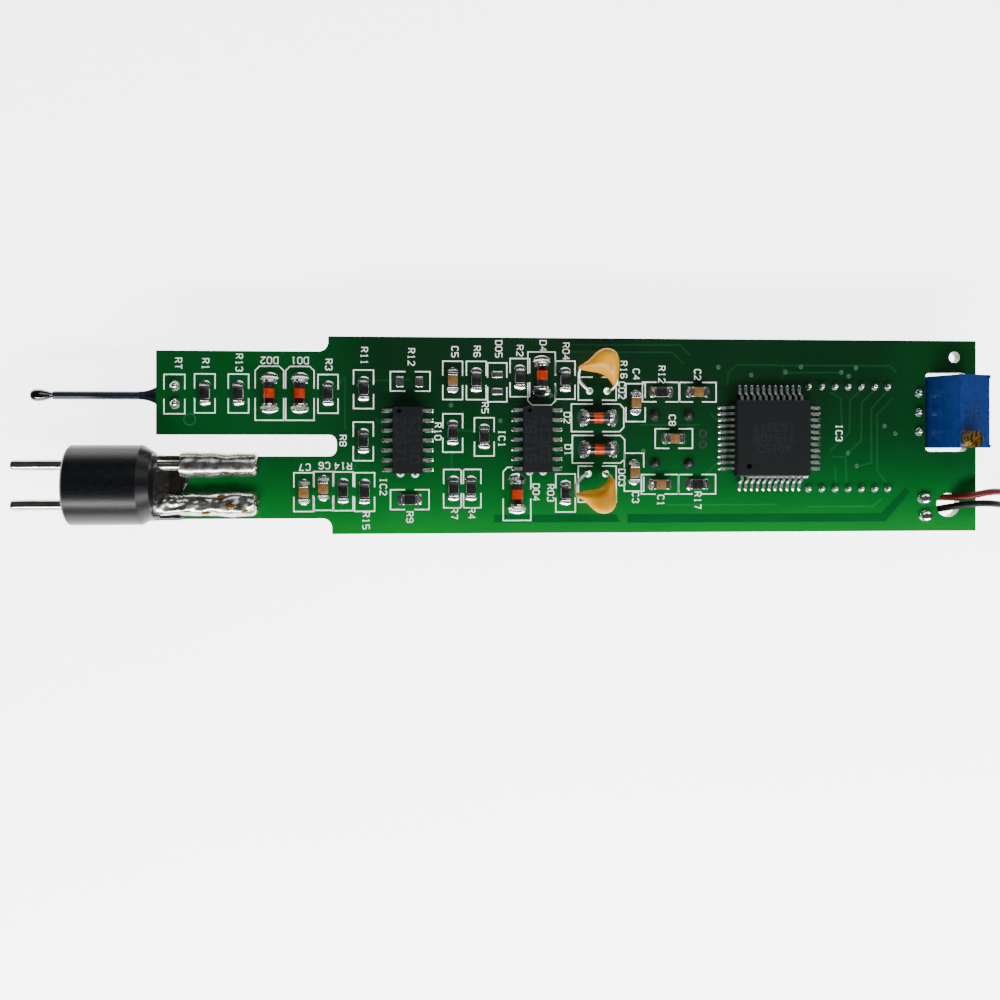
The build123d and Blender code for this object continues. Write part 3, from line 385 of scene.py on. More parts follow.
@dataclass(frozen=True)
class SolderMask(Mask):
    """Green solder mask over the weave of a glass-fibre board, bare laminate on the cut edges."""

    laminate: str = "#8f8f3c"
    layer: str = "#6a7a34"
    weave: float = 0.45

    def tint(self, tree: Tree, amount: Socket) -> Socket:
        """Mask on the two faces and laminate where the board was routed.

        Args:
            tree: The material's node tree.
            amount: What the colour varies with.

        Returns:
            The colour.
        """
        edge = self.blend(tree, self.lines(tree, "Z", self.weave, 2.0), self.laminate, self.layer, 0.2, 0.8)
        normal = add_node(tree, "ShaderNodeTexCoord").outputs["Normal"]
        facing = add_node(tree, "ShaderNodeSeparateXYZ", Vector=normal).outputs["Z"]
        on_face = worked(tree, "GREATER_THAN", worked(tree, "ABSOLUTE", facing), 0.5)
        return mixed(tree, on_face, edge, super().tint(tree, amount))

    def height(self, tree: Tree, amount: Socket) -> Socket:
        """The weave of the cloth."""
        scale = 1 / (self.weave * MM)
        return add_node(tree, "ShaderNodeTexChecker", Vector=self.place(tree), Scale=scale).outputs["Fac"]

    def extra(self) -> dict[str, object]:
        """Keep the coat a little soft."""
        return {"Coat_Roughness": 0.12}


# Solder mask: a wet gloss over dark green, slightly clouded where it pooled. Over copper it
# reads lighter and yellower, because the metal shines through, and over a plated hole it is pale and frosted.
# All three masks carry painted shade: darker toward the board's upper side.
BOARD_MASK = SolderMask("Green solder mask on FR4", "#006620", "#006c23", grain=9.0, bump=0.002)
MASK_ON_COPPER = Mask("Green mask over copper", "#0c7630", "#107832", grain=4.0, deep="#0a3c1c")
MASK_ON_POUR = Mask("Green mask over copper pour", "#004a1c", "#004e1e", grain=7.0)
MASK_ON_VIA = Finish("Green mask over plated hole", "#1a4f2e", "#28603c", roughness=0.35, grain=0.3, coat=0.1)
# Screen-printed epoxy ink: chalky white.
SILK_INK = Finish("White silkscreen ink", "#e9ece6", "#ffffff", roughness=0.6, grain=0.4, spread=0.1)
# Reflowed tin-lead is bright, solder laid by hand is duller and lumpier, and old flat tin has gone grey.
BRIGHT_SOLDER = Metal("Reflowed solder", "#cfd1d2", "#eceeef", roughness=0.17, grain=0.7)
HAND_SOLDER = Metal(
    "Hand-applied solder", "#9b9c98", "#d8d8d2", roughness=0.25, grain=1.1, bump=0.008, spread=0.1
)
DULL_TIN = Metal("Dull tinned pad", "#333a36", "#48504b", roughness=0.5, grain=0.4, bump=0.01)
TINNED_LEAD = Metal("Matt tinned copper alloy", "#b9bcbd", "#dcdedf", roughness=0.33, grain=0.3)
# Rosin flux that ran and set: an amber glaze.
FLUX = ClearGlass("Rosin flux residue", "#8a5a12", "#5e3a08", roughness=0.15, grain=0.8, through=0.55, ior=1.52)
POLISHED_STEEL = Metal("Polished stainless steel", "#b4b2ad", "#cfcdc8", roughness=0.14, grain=1.4, spread=0.06)
PRESSED_STEEL = Metal("Pressed stainless sheet", "#c4c5c4", "#dadbda", roughness=0.28, grain=0.8)
TURNED_BRASS = Turned("Turned brass", "#b98f3c", "#dcb868", roughness=0.24, grain=0.12, bump=0.003)
# Nitrile rubber: near-black with a satin streak and faint mould dust.
HOLDER_RUBBER = Finish(
    "Moulded nitrile rubber", "#08090a", "#0e0f11", roughness=0.33, grain=0.35, bump=0.01, spread=0.08, gloss=0.2
)
# Two-part epoxy that set glossy and black, and a bead as glossy as a drop of ink.
POTTING_RESIN = Finish("Black epoxy potting", "#0a0908", "#15130f", roughness=0.25, grain=1.2, bump=0.08, coat=0.4)
BEAD_RESIN = Finish("Glossy dipped epoxy bead", "#060607", "#0c0c0f", roughness=0.08, grain=0.8, coat=0.8)
SLEEVE_PVC = Finish("Dark blue PVC sleeving", "#080f24", "#0c1632", roughness=0.38, grain=0.6, bump=0.006)
# Chip parts: lead-glass over the thick film, the alumina under it, and the capacitors' brown dielectric.
RESISTOR_GLAZE = Finish("Black resistor glaze", "#0f100f", "#1c1e1c", roughness=0.25, grain=0.3)
ALUMINA = Finish("Fired alumina", "#d9d7cf", "#e9e7e0", roughness=0.55, grain=0.2)
CAPACITOR_CERAMIC = Finish("Brown sintered ceramic", "#60401c", "#7a5628", roughness=0.45, grain=0.4)
# Diodes: wet-looking orange glass, the slug's shadow behind it, and the fired paint ring.
DIODE_GLASS = ClearGlass("Orange diode glass", "#cf3c10", "#b02c0a", roughness=0.05, grain=0.8, through=0.35)
DIODE_SHADE = Finish("Dark glass over the slug", "#200804", "#0c0504", roughness=0.1, coat=0.6)
CATHODE_BAND = Finish("Black cathode band", "#0b0b0c", "#161617", roughness=0.35, grain=0.3)
# Transfer-moulded epoxy is matt charcoal. The laser leaves it a shade paler, the ejector's dimple is polished.
MOULDING_COMPOUND = Finish(
    "Moulded epoxy compound", "#060a0b", "#0c1112", roughness=0.55, grain=0.12, bump=0.004, spread=0.1, gloss=0.2
)
LASER_MARK = Finish("Laser-marked compound", "#151d1e", "#1c2526", roughness=0.7, grain=0.2, gloss=0.2)
PACKAGE_MARK = Finish("Polished pin-one dimple", "#070a0b", "#0b0e0f", roughness=0.45, grain=0.3, gloss=0.2)
# Dipped lacquer, thick and smooth.
CAPACITOR_LACQUER = Finish(
    "Orange-yellow dipped lacquer", "#b87c00", "#c98800", roughness=0.3, grain=1.6, bump=0.02, gloss=0.2
)
# Glass-filled polyester of the adjusting screw's housing, the resin under it, its ink and its worm wheel.
TRIMMER_BLUE = Finish(
    "Moulded blue polyester", "#01215a", "#022868", roughness=0.36, grain=0.7, bump=0.006, spread=0.08
)
TRIMMER_RESIN = Finish("Cast blue resin", "#20477c", "#2a5590", roughness=0.4, grain=0.8)
TRIMMER_INK = Finish("Dark marking ink", "#010614", "#020a1c", grain=0.2)
NATURAL_NYLON = Finish("Natural nylon", "#e4e0d2", "#efece0", roughness=0.45)
# Display: float glass, a dyed film with a reflector behind it, a clear film in front, segments at rest.
DISPLAY_GLASS = ClearGlass("Float glass", "#e6f2ec", "#eef6f2", roughness=0.04, grain=5.0, through=0.92, ior=1.52)
POLARISER_FILM = Finish("Polariser film", "#8e998a", "#98a394", roughness=0.3, grain=6.0, coat=0.3)
FRONT_FILM = ClearGlass("Clear polariser film", "#a9b3a4", "#b2bcad", roughness=0.12, grain=6.0, through=0.85)
SEGMENT_INK = Finish("Liquid-crystal segments", "#3c443c", "#454e45", roughness=0.35, grain=2.0, coat=0.3)
SWITCH_NYLON = Finish("Black glass-filled nylon", "#161618", "#222225", roughness=0.42, grain=0.3, bump=0.008)
# Battery leads and the soft band round their hank.
RED_PVC = Finish("Red PVC insulation", "#4c0308", "#58050b", roughness=0.4, grain=1.2, bump=0.004, gloss=0.3)
BLACK_PVC = Finish("Black PVC insulation", "#050506", "#0a0a0b", roughness=0.4, grain=1.2, bump=0.004, gloss=0.14)
TIE_BAND = Finish("White shrink band", "#dcdcd8", "#ececea", grain=0.8, bump=0.01)
# White acrylic of a light table, softly lit from below.
STUDIO_FLOOR = LitSheet("White light-table acrylic", "#fbfbfa", "#ffffff", roughness=0.9, grain=60.0)


# ---------------------------------------------------------------- mesh helpers
def nurbs(name: str, points: Sequence[Point]) -> bpy.types.Curve:
    """Draw one smooth open line.

    Args:
        name: Name of the curve.
        points: Its control points in millimetres.

    Returns:
        The curve's data, with no thickness yet.
    """
    data = bpy.data.curves.new(name, "CURVE")
    data.dimensions = "3D"
    line = data.splines.new("NURBS")
    line.points.add(len(points) - 1)
    for target, place in zip(line.points, points):
        target.co = (*(Vector(place) * MM), 1.0)
    line.order_u = 3
    line.use_endpoint_u = True
    line.resolution_u = 12
    return data


def shown(name: str, data: bpy.types.ID) -> bpy.types.Object:
    """Put a mesh, curve, light or camera in the scene.

    Args:
        name: Name of the object.
        data: What it shows.

    Returns:
        The object.
    """
    made = bpy.data.objects.new(name, data)
    bpy.context.scene.collection.objects.link(made)
    return made


def to_data(name: str, made: Mesh) -> bpy.types.Mesh:
    """Turn a mesh drawn in millimetres into data in metres.

    Args:
        name: Name of the data.
        made: The mesh, which is used up.

    Returns:
        The data.
    """
    for vert in made.verts:
        vert.co *= MM
    data = bpy.data.meshes.new(name)
    made.to_mesh(data)
    made.free()
    return data


class Shop:
    """Makes new pieces and gives each its finish and its body."""

    @staticmethod
    def _register(name: str, data: bpy.types.ID, finish: Finish, slot: str,
                  replaced: Sequence[str]) -> bpy.types.Object:
        """Place and dress a new piece, hang it on its body and hide the CAD nodes that it stands for.

        Args:
            name: Name of the piece.
            data: Its mesh or curve.
            finish: What it is made of.
            slot: Not used.
            replaced: CAD nodes that it stands for.

        Returns:
            The piece.
        """
        piece = shown(name, data)
        data.materials.append(finish.material())
        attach(piece, BOARD_BODY)
        if replaced:
            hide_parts(*replaced)
        return piece

    @classmethod
    def mesh(cls, name: str, made: Mesh, finish: Finish, slot: str, replaced: Sequence[str] = (),
             smooth: float = 40.0) -> bpy.types.Object:
        """Turn a mesh drawn in millimetres into a dressed piece.

        Args:
            name: Name of the piece.
            made: The mesh, which is used up.
            finish: What it is made of.
            slot: Material slot of the record that it takes.
            replaced: CAD nodes that it stands for.
            smooth: Angle in degrees below which an edge is shaded round.

        Returns:
            The piece.
        """
        bmesh.ops.recalc_face_normals(made, faces=made.faces)
        limit = math.radians(smooth)
        for face in made.faces:
            face.smooth = True
        for edge in made.edges:
            edge.smooth = len(edge.link_faces) == 2 and edge.calc_face_angle(0.0) < limit
        return cls._register(name, to_data(name, made), finish, slot, replaced)

    @classmethod
    def wire(cls, name: str, points: Sequence[Point], diameter: float, finish: Finish, slot: str,
             replaced: Sequence[str] = ()) -> bpy.types.Object:
        """Make a round wire or lead along control points.

        Args:
            name: Name of the piece.
            points: Control points of its line in millimetres.
            diameter: Width of the wire in millimetres.
            finish: What it is made of.
            slot: Material slot of the record that it takes.
            replaced: CAD nodes that it stands for.

        Returns:
            The curve.
        """
        data = nurbs(name, points)
        data.bevel_depth = diameter / 2 * MM
        data.bevel_resolution = 6
        data.use_fill_caps = True
        return cls._register(name, data, finish, slot, replaced)


def dress(finish: Finish, *nodes: str) -> None:
    """Give CAD nodes their finish.

    Args:
        finish: What they are made of.
        *nodes: Their names.
    """
    for node in nodes:
        piece = bpy.data.objects[node]
        if not piece.material_slots:
            piece.data.materials.append(finish.material())
        for slot in piece.material_slots:
            slot.material = finish.material()


def rounded_box(made: Mesh, low: Sequence[float], high: Sequence[float], edge: float,
                steps: int = 2) -> list[bmesh.types.BMVert]:
    """Add a box with rounded edges.

    Args:
        made: Mesh that takes the box.
        low: Lowest corner.
        high: Highest corner.
        edge: Radius of its edges.
        steps: How many flats each rounding has.

    Returns:
        Its corners' vertices.
    """
    part = bmesh.new()
    bmesh.ops.create_cube(part, size=1.0)
    for vert in part.verts:
        vert.co = Vector([co * (h - l) + (h + l) / 2 for co, l, h in zip(vert.co, low, high)])
    bmesh.ops.bevel(part, geom=part.edges[:], offset=edge, segments=steps, profile=0.5, affect="EDGES")
    copies = {vert: made.verts.new(vert.co) for vert in part.verts}
    for face in part.faces:
        made.faces.new([copies[vert] for vert in face.verts])
    part.free()
    return list(copies.values())


def skin(made: Mesh, rings: Sequence[Sequence[bmesh.types.BMVert]]) -> None:
    """Join closed rings of corners in turn.

    Args:
        made: Mesh that the corners are in.
        rings: The rings; one of a single corner is a tip.
    """
    for lower, upper in zip(rings, rings[1:]):
        count = max(len(lower), len(upper))
        for i in range(count):
            j = (i + 1) % count
            corners = (lower[i % len(lower)], lower[j % len(lower)], upper[j % len(upper)], upper[i % len(upper)])
            unique = list(dict.fromkeys(corners))
            if len(unique) > 2:
                made.faces.new(unique)


def lathe(made: Mesh, profile: Sequence[Flat], middle: Sequence[float], axis: Vector = UP,
          steps: int = 24) -> list[bmesh.types.BMVert]:
    """Turn a profile about an axis.

    Args:
        made: Mesh that takes the turned piece.
        profile: Radius and height of each point, from nought to nought in radius.
        middle: Where the axis starts.
        axis: Direction of the height.
        steps: Flats around.

    Returns:
        The new vertices.
    """
    axis = axis.normalized()
    side = axis.orthogonal().normalized()
    other = axis.cross(side)
    turns = [2 * math.pi * i / steps for i in range(steps)]
    rings = []
    for radius, height in profile:
        centre = Vector(middle) + axis * height
        ways = [side * math.cos(t) + other * math.sin(t) for t in turns] if radius > 0 else [ORIGIN]
        rings.append([made.verts.new(centre + way * radius) for way in ways])
    skin(made, rings)
    return [vert for ring in rings for vert in ring]


def strip(made: Mesh, path: Sequence[Flat], width: float, z: float, rise: float, closed: bool = False) -> None:
    """Add a flat stroke of even width that lies on a plane, such as a printed or etched line.

    Args:
        made: Mesh that takes the stroke.
        path: Its middle line.
        width: Its width.
        z: Height of the plane.
        rise: How thick it stands on the plane, down if below nought.
        closed: Whether it joins up with its start.
    """
    count = len(path)
    points = [Vector(p) for p in path]
    lefts, rights = [], []
    for i, point in enumerate(points):
        before = points[i - 1] if i or closed else None
        after = points[(i + 1) % count] if i < count - 1 or closed else None
        arriving = (point - before).normalized() if before is not None else (after - point).normalized()
        leaving = (after - point).normalized() if after is not None else arriving
        bisector = arriving + leaving
        bisector = bisector.normalized() if bisector.length > 1e-6 else arriving
        normal = Vector((-bisector.y, bisector.x))
        reach = width / 2 / max(math.sqrt(max((1 + arriving.dot(leaving)) / 2, 0.0)), 0.5)
        lefts.append(point + normal * reach)
        rights.append(point - normal * reach)
    pairs = [[made.verts.new((*p, z + rise)) for p in side] for side in (lefts, rights)]
    feet = [[made.verts.new((*p, z)) for p in side] for side in (lefts, rights)]
    for i in range(count if closed else count - 1):
        j = (i + 1) % count
        made.faces.new((pairs[0][i], pairs[1][i], pairs[1][j], pairs[0][j]))
        made.faces.new((feet[0][i], feet[0][j], feet[1][j], feet[1][i]))
        made.faces.new((pairs[0][i], pairs[0][j], feet[0][j], feet[0][i]))
        made.faces.new((pairs[1][j], pairs[1][i], feet[1][i], feet[1][j]))
    if not closed:
        for i in (0, count - 1):
            made.faces.new((pairs[0][i], pairs[1][i], feet[1][i], feet[0][i]))


def slab(made: Mesh, outline: Sequence[Flat], z: float, rise: float) -> None:
    """Add a flat plate on a plane.

    Args:
        made: Mesh that takes the plate.
        outline: Its corners in turn.
        z: Height of the plane.
        rise: How thick it stands on the plane.
    """
    low = [made.verts.new((*p, z)) for p in outline]
    high = [made.verts.new((*p, z + rise)) for p in outline]
    made.faces.new(low[::-1])
    made.faces.new(high)
    skin(made, (low, high))


def circle(middle: Flat, radius: float, steps: int) -> list[Flat]:
    """Points spaced evenly round a circle."""
    turns = [2 * math.pi * i / steps for i in range(steps)]
    return [(middle[0] + radius * math.cos(t), middle[1] + radius * math.sin(t)) for t in turns]


def rectangle(low_x: float, low_y: float, high_x: float, high_y: float) -> list[Flat]:
    """Corners of an upright rectangle."""
    return [(low_x, low_y), (high_x, low_y), (high_x, high_y), (low_x, high_y)]


def grounded(made: Mesh, grid: list[list[bmesh.types.BMVert]], z: float) -> None:
    """Skin a grid of corners and close it down to a flat foot.

    Args:
        made: Mesh to add to.
        grid: Lines of corners, all as long.
        z: Height of the foot.
    """
    for first, second in zip(grid, grid[1:]):
        for j in range(len(first) - 1):
            made.faces.new((first[j], first[j + 1], second[j + 1], second[j]))
    border = grid[0] + [line[-1] for line in grid[1:]] + grid[-1][-2::-1] + [line[0] for line in grid[-2:0:-1]]
    feet = [made.verts.new((corner.co.x, corner.co.y, z)) for corner in border]
    skin(made, (border, feet))
    made.faces.new(feet)


# ---------------------------------------------------------------- solder, chips and diodes
def lengthwise(size: Vector) -> int:
    """Nought for a part that lies along X, one for a part that lies along Y."""
    return 0 if size.x > size.y else 1


def shifted(middle: Vector, way: int, along: float, across: float = 0.0) -> Flat:
    """Place on the board that lies along and across from a part's middle."""
    return (middle.x + across, middle.y + along) if way else (middle.x + along, middle.y + across)


def solder_fillet(made: Mesh, root: Flat, toward: Flat, width: float, reach: float, height: float,
                  base: float) -> None:
    """Add one concave solder fillet that climbs a part's end.

    Args:
        made: Mesh that takes the fillet.
        root: Middle of the end that it climbs, on the board.
        toward: Way that it runs out over the pad.
        width: Width across the end.
        reach: How far it runs out.
        height: How high it climbs.
        base: Height of the pad's plane.
    """
    along = Vector(toward).normalized()
    across = Vector((-along.y, along.x))
    columns, rows = 9, 7
    grid = []
    for i in range(columns):
        u = 2 * i / (columns - 1) - 1
        line = []
        for j in range(rows):
            t = j / (rows - 1)
            spread = width / 2 * u * (1 + 0.12 * math.sin(math.pi * t))
            place = Vector(root) + along * (t * reach * (1 - 0.4 * u * u)) + across * spread
            lift = height * (1 - t) ** 1.9 * (1 - 0.45 * u * u) + 0.05 * (1 - t ** 3) * (1 - 0.8 * u * u)
            line.append(made.verts.new((place.x, place.y, base + max(lift, 0.004))))
        grid.append(line)
    grounded(made, grid, base)


@dataclass
class ChipParts:
    """Chip resistors or capacitors, each with two plated ends held by solder fillets.

    Attributes:
        node: CAD node that holds the bodies.
        body: Finish of the bodies.
        slot: Material slot of the bodies.
        glazed: Whether a black glaze lies on top.
        terminal: Length of each plated end.
        fillet: How far the solder runs out over the pad.
        edge: Rounding of the plated ends.
    """

    node: str
    body: Finish
    slot: str
    glazed: bool = False
    terminal: float = 0.38
    fillet: float = 0.72
    edge: float = 0.07

    def build(self) -> None:
        """Make the bodies, plated ends and fillets of every chip."""
        bodies, ends, glaze, solder = (bmesh.new() for _ in range(4))
        chips = islands(self.node)
        for low, high in chips:
            size, middle = high - low, (low + high) / 2
            way = lengthwise(size)
            inset, margin = Vector((0, 0, 0.02)), Vector((0.01, 0.01, 0))
            inset[way], margin[way] = self.terminal, self.terminal * 0.9
            rounded_box(bodies, low + inset, high - inset, 0.03)
            if self.glazed:
                rounded_box(glaze, (*(low + margin).xy, high.z - 0.08), (*(high - margin).xy, high.z + 0.03), 0.025)
            for sign in (-1, 1):
                end_low, end_high = low.copy(), high.copy()
                if sign < 0:
                    end_high[way] = low[way] + self.terminal
                else:
                    end_low[way] = high[way] - self.terminal
                rounded_box(ends, end_low, end_high, self.edge, 3)
                root = shifted(middle, way, sign * (size[way] / 2 - 0.04))
                solder_fillet(solder, root, shifted(ORIGIN, way, sign), size[1 - way] + 0.12, self.fillet,
                              size.z * 0.82, low.z)
        Shop.mesh(f"{self.node}_bodies", bodies, self.body, self.slot, (self.node,))
        Shop.mesh(f"{self.node}_plated_ends", ends, BRIGHT_SOLDER, "tin")
        Shop.mesh(f"{self.node}_solder", solder, BRIGHT_SOLDER, "solder", smooth=70)
        if self.glazed:
            Shop.mesh(f"{self.node}_glaze", glaze, RESISTOR_GLAZE, "chip_black")
        LOG.info("%s: %d chips", self.node, len(chips))


@dataclass
class GlassDiode:
    """One glass diode with plated end caps.

    Attributes:
        node: CAD node of the diode.
        band_end: Which end carries the cathode band, plus or minus one along its axis.
        cap: Length of each end cap.
        band: Width of the cathode band.
        window: Length of clear orange glass next to the band.
        soft: Rounding of the caps' edges.
    """

    node: str
    band_end: int
    cap: float = 0.45
    band: float = 0.75
    window: float = 1.2
    soft: float = 0.12

    def build(self) -> None:
        """Make the glass, the band, the caps and the solder at both ends."""
        low, high = node_box(self.node)
        size, middle = high - low, (low + high) / 2
        way = lengthwise(size)
        length, radius, soft = size[way], size.z / 2, self.soft
        axis = Vector((0, 0, 0))
        axis[way] = self.band_end
        start = middle - axis * length / 2
        glass = radius * 0.93
        # Heights run from the end without the band to the end with it.
        edge = length - self.cap
        band_low = edge - self.band
        window_low = band_low - self.window
        for label, finish, reach, first, last in (
            ("glass", DIODE_GLASS, glass, window_low, band_low), ("band", CATHODE_BAND, glass * 1.01, band_low, edge),
            ("slug", DIODE_SHADE, glass, self.cap, window_low),
        ):
            made = bmesh.new()
            lathe(made, ((0, first), (reach, first), (reach, last), (0, last)), start, axis, 28)
            Shop.mesh(f"{self.node}_{label}", made, finish, "diode_glass", (self.node,) if label == "glass" else ())
        caps, solder = bmesh.new(), bmesh.new()
        for base in (0.0, edge):
            top = base + self.cap
            lathe(caps, ((0, base), (radius - soft, base), (radius, base + soft), (radius, top - soft),
                         (radius - soft / 2, top), (0, top)), start, axis, 28)
        for sign in (-1, 1):
            root = shifted(middle, way, sign * (length / 2 - 0.05))
            solder_fillet(solder, root, shifted(ORIGIN, way, sign), size[1 - way] + 0.55, 1.0, radius * 1.1, low.z)
            # Solder also wicks along both sides of the cap.
            for side in (-1, 1):
                flank = shifted(middle, way, sign * edge / 2, side * radius * 0.75)
                solder_fillet(solder, flank, shifted(ORIGIN, way, 0, side), self.cap * 1.3, 0.42, radius * 0.5, low.z)
        Shop.mesh(f"{self.node}_caps", caps, BRIGHT_SOLDER, "tin")
        Shop.mesh(f"{self.node}_solder", solder, BRIGHT_SOLDER, "solder", smooth=70)
        LOG.info("%s: glass, band and caps", self.node)


# ---------------------------------------------------------------- integrated circuits
@dataclass
class Package:
    """A moulded package whose gull-wing feet are soldered down.

    Attributes:
        name: Stem of its CAD nodes.
        pin_one: Place of the round dimple, as shares of the body's width and depth.
        dimple: Radius of the dimple.
        rows: Numbers marked on its top, a row each.
        turn: Angle in degrees that the rows are turned by.
        letter: Height of a digit.
        foot: Length of a lead's foot.
    """

    name: str
    pin_one: Flat
    dimple: float
    rows: tuple[str, ...]
    turn: float
    letter: float
    foot: float = 0.75

    def build(self) -> None:
        """Dress the body and the leads, and add the dimple, the numbers and the solder at the feet."""
        dress(MOULDING_COMPOUND, f"{self.name}_body")
        dress(TINNED_LEAD, f"{self.name}_leads")
        low, high = node_box(f"{self.name}_body")
        size, middle = high - low, (low + high) / 2
        mark, solder = bmesh.new(), bmesh.new()
        place = (low.x + size.x * self.pin_one[0], low.y + size.y * self.pin_one[1], high.z)
        edge = self.dimple
        lathe(mark, ((0, 0.0), (edge * 0.8, 0.0), (edge, 0.012), (edge, -0.05), (0, -0.05)), place)
        Shop.mesh(f"{self.name}_pin_one", mark, PACKAGE_MARK, "mould")
        laser = Silkscreen(high.z, letter=self.letter, ink=0.004, pen=0.1)
        angle = math.radians(self.turn)
        for index, words in enumerate(self.rows):
            down = (index - (len(self.rows) - 1) / 2) * self.letter * 1.45
            laser.text(words, (middle.x + down * math.sin(angle), middle.y - down * math.cos(angle)), self.turn)
        laser.finish(f"{self.name}_laser_mark", LASER_MARK, "mould")
        feet = islands(f"{self.name}_leads")
        for foot_low, foot_high in feet:
            size, centre = foot_high - foot_low, (foot_low + foot_high) / 2
            way = lengthwise(size)
            sign = 1 if centre[way] > middle[way] else -1
            toe = size[way] / 2 - 0.03
            solder_fillet(solder, shifted(centre, way, sign * toe), shifted(ORIGIN, way, sign),
                          size[1 - way] + 0.08, 0.42, 0.2, foot_low.z)
            for side in (-1, 1):
                flank = shifted(centre, way, sign * (toe - self.foot / 2), side * (size[1 - way] / 2 - 0.02))
                solder_fillet(solder, flank, shifted(ORIGIN, way, 0, side), self.foot, 0.09, 0.12, foot_low.z)
        Shop.mesh(f"{self.name}_foot_solder", solder, BRIGHT_SOLDER, "solder", smooth=70)
        LOG.info("%s: %d soldered feet", self.name, len(feet))


# ---------------------------------------------------------------- dipped capacitors and solder joints
@dataclass
class DippedCapacitor:
    """A lacquered capacitor that leans over on its two bare legs.

    Attributes:
        node: CAD node of its body.
        outline: Its outline about the middle of the body, from its left tip and clockwise.
        heart: Point of the outline's plane that the body swells about.
        slope: How far its middle plane climbs per unit of Y.
        side: Way in Y that it leans.
        thick: Half of its thickness.
        loops: How many rings each half of the body has.
        leg_width: Width of a leg.
        legs: For each leg its name, its place in X from the body's middle, and its bends from there.
    """

    node: str
    outline: tuple[Flat, ...]
    heart: Flat
    slope: float
    side: int = 1
    thick: float = 1.1
    loops: int = 5
    leg_width: float = 0.42
    legs: tuple[tuple[str, float, tuple[Point, ...]], ...] = (
        ("left", -1.0, ((0, 0, 0), (0, 0, 2.4), (-0.9, 0.3, 3.0), (-2.1, 1.7, 3.3), (-1.7, 3.0, 3.9))),
        ("right", 1.3, ((0, 0, 0), (0, 0, 2.4), (0.5, 0.4, 3.0), (1.0, 1.3, 3.3), (0.7, 2.4, 3.8))),
    )

    def bend_legs(self, middle: Vector) -> None:
        """Bend the two bare legs from the pads up into the body.

        Args:
            middle: Middle of the body.
        """
        leads = f"{self.node}_leads"
        low, high = node_box(leads)
        pad = (low.y if self.side > 0 else high.y) + self.side * self.leg_width / 2
        for label, start, bends in self.legs:
            points = [(middle.x + start + x, pad + self.side * y, low.z + z) for x, y, z in bends]
            Shop.wire(f"{self.node}_leg_{label}", points, self.leg_width, TINNED_LEAD, "tin",
                      (leads,) if label == "left" else ())

    def body(self, middle: Vector) -> Mesh:
        """Swell the outline into a lacquered drop.

        Args:
            middle: Middle of the body.

        Returns:
            The drop, coarse still.
        """
        made = bmesh.new()
        rings = []
        for k in range(-self.loops, self.loops + 1):
            turn = k / self.loops * math.pi / 2
            tip = abs(k) == self.loops
            share = 0.0 if tip else math.cos(turn) ** 0.75
            ring = []
            for place in self.outline[:1] if tip else self.outline:
                x, y = (h + (c - h) * share for c, h in zip(place, self.heart))
                rise = y * self.slope + math.sin(turn) * self.thick
                ring.append(made.verts.new((middle.x + x, middle.y + y, middle.z + rise)))
            rings.append(ring)
        skin(made, rings)
        return made

    def build(self) -> None:
        """Make the body and its legs."""
        low, high = node_box(self.node)
        middle = (low + high) / 2
        piece = Shop.mesh(f"{self.node}_lacquered", self.body(middle), CAPACITOR_LACQUER, "lacquer",
                          (self.node,), 180)
        rounding = piece.modifiers.new("Rounding", "SUBSURF")
        rounding.levels = rounding.render_levels = 2
        self.bend_legs(middle)
        LOG.info("%s: lacquered body on two legs", self.node)


@dataclass
class Joints:
    """Solder joints where leads come through the board.

    Attributes:
        node: CAD node of the joints.
        lead: Radius of the lead's trimmed end, or nought for none.
        sink: How deep the fillet's waist is drawn in.
        spread: Share of the joint's width that the solder covers.
        long: How much longer the joint is along the board than across.
        solder: Finish of the solder.
    """

    node: str
    lead: float = 0.22
    sink: float = 0.3
    spread: float = 1.0
    long: float = 1.0
    solder: Finish = BRIGHT_SOLDER

    def build(self) -> None:
        """Give each joint a concave fillet and a trimmed lead end."""
        solder = bmesh.new()
        for low, high in islands(self.node):
            size, middle = high - low, (low + high) / 2
            radius, rise = size.x / 2 * self.spread, size.z
            waist = radius * (1 - self.sink)
            profile = ((0, 0), (radius, 0), (radius, 0.04), (waist, rise * 0.3), (waist * 0.72, rise * 0.62),
                       (self.lead + 0.12, rise * 0.86), (self.lead, rise * 0.94), (self.lead * 0.6, rise), (0, rise))
            for vert in lathe(solder, profile, (middle.x, middle.y, low.z), steps=20):
                vert.co.x = middle.x + (vert.co.x - middle.x) * self.long
        Shop.mesh(f"{self.node}_fillets", solder, self.solder, "solder", (self.node,), 75)
        LOG.info("%s: joints made", self.node)


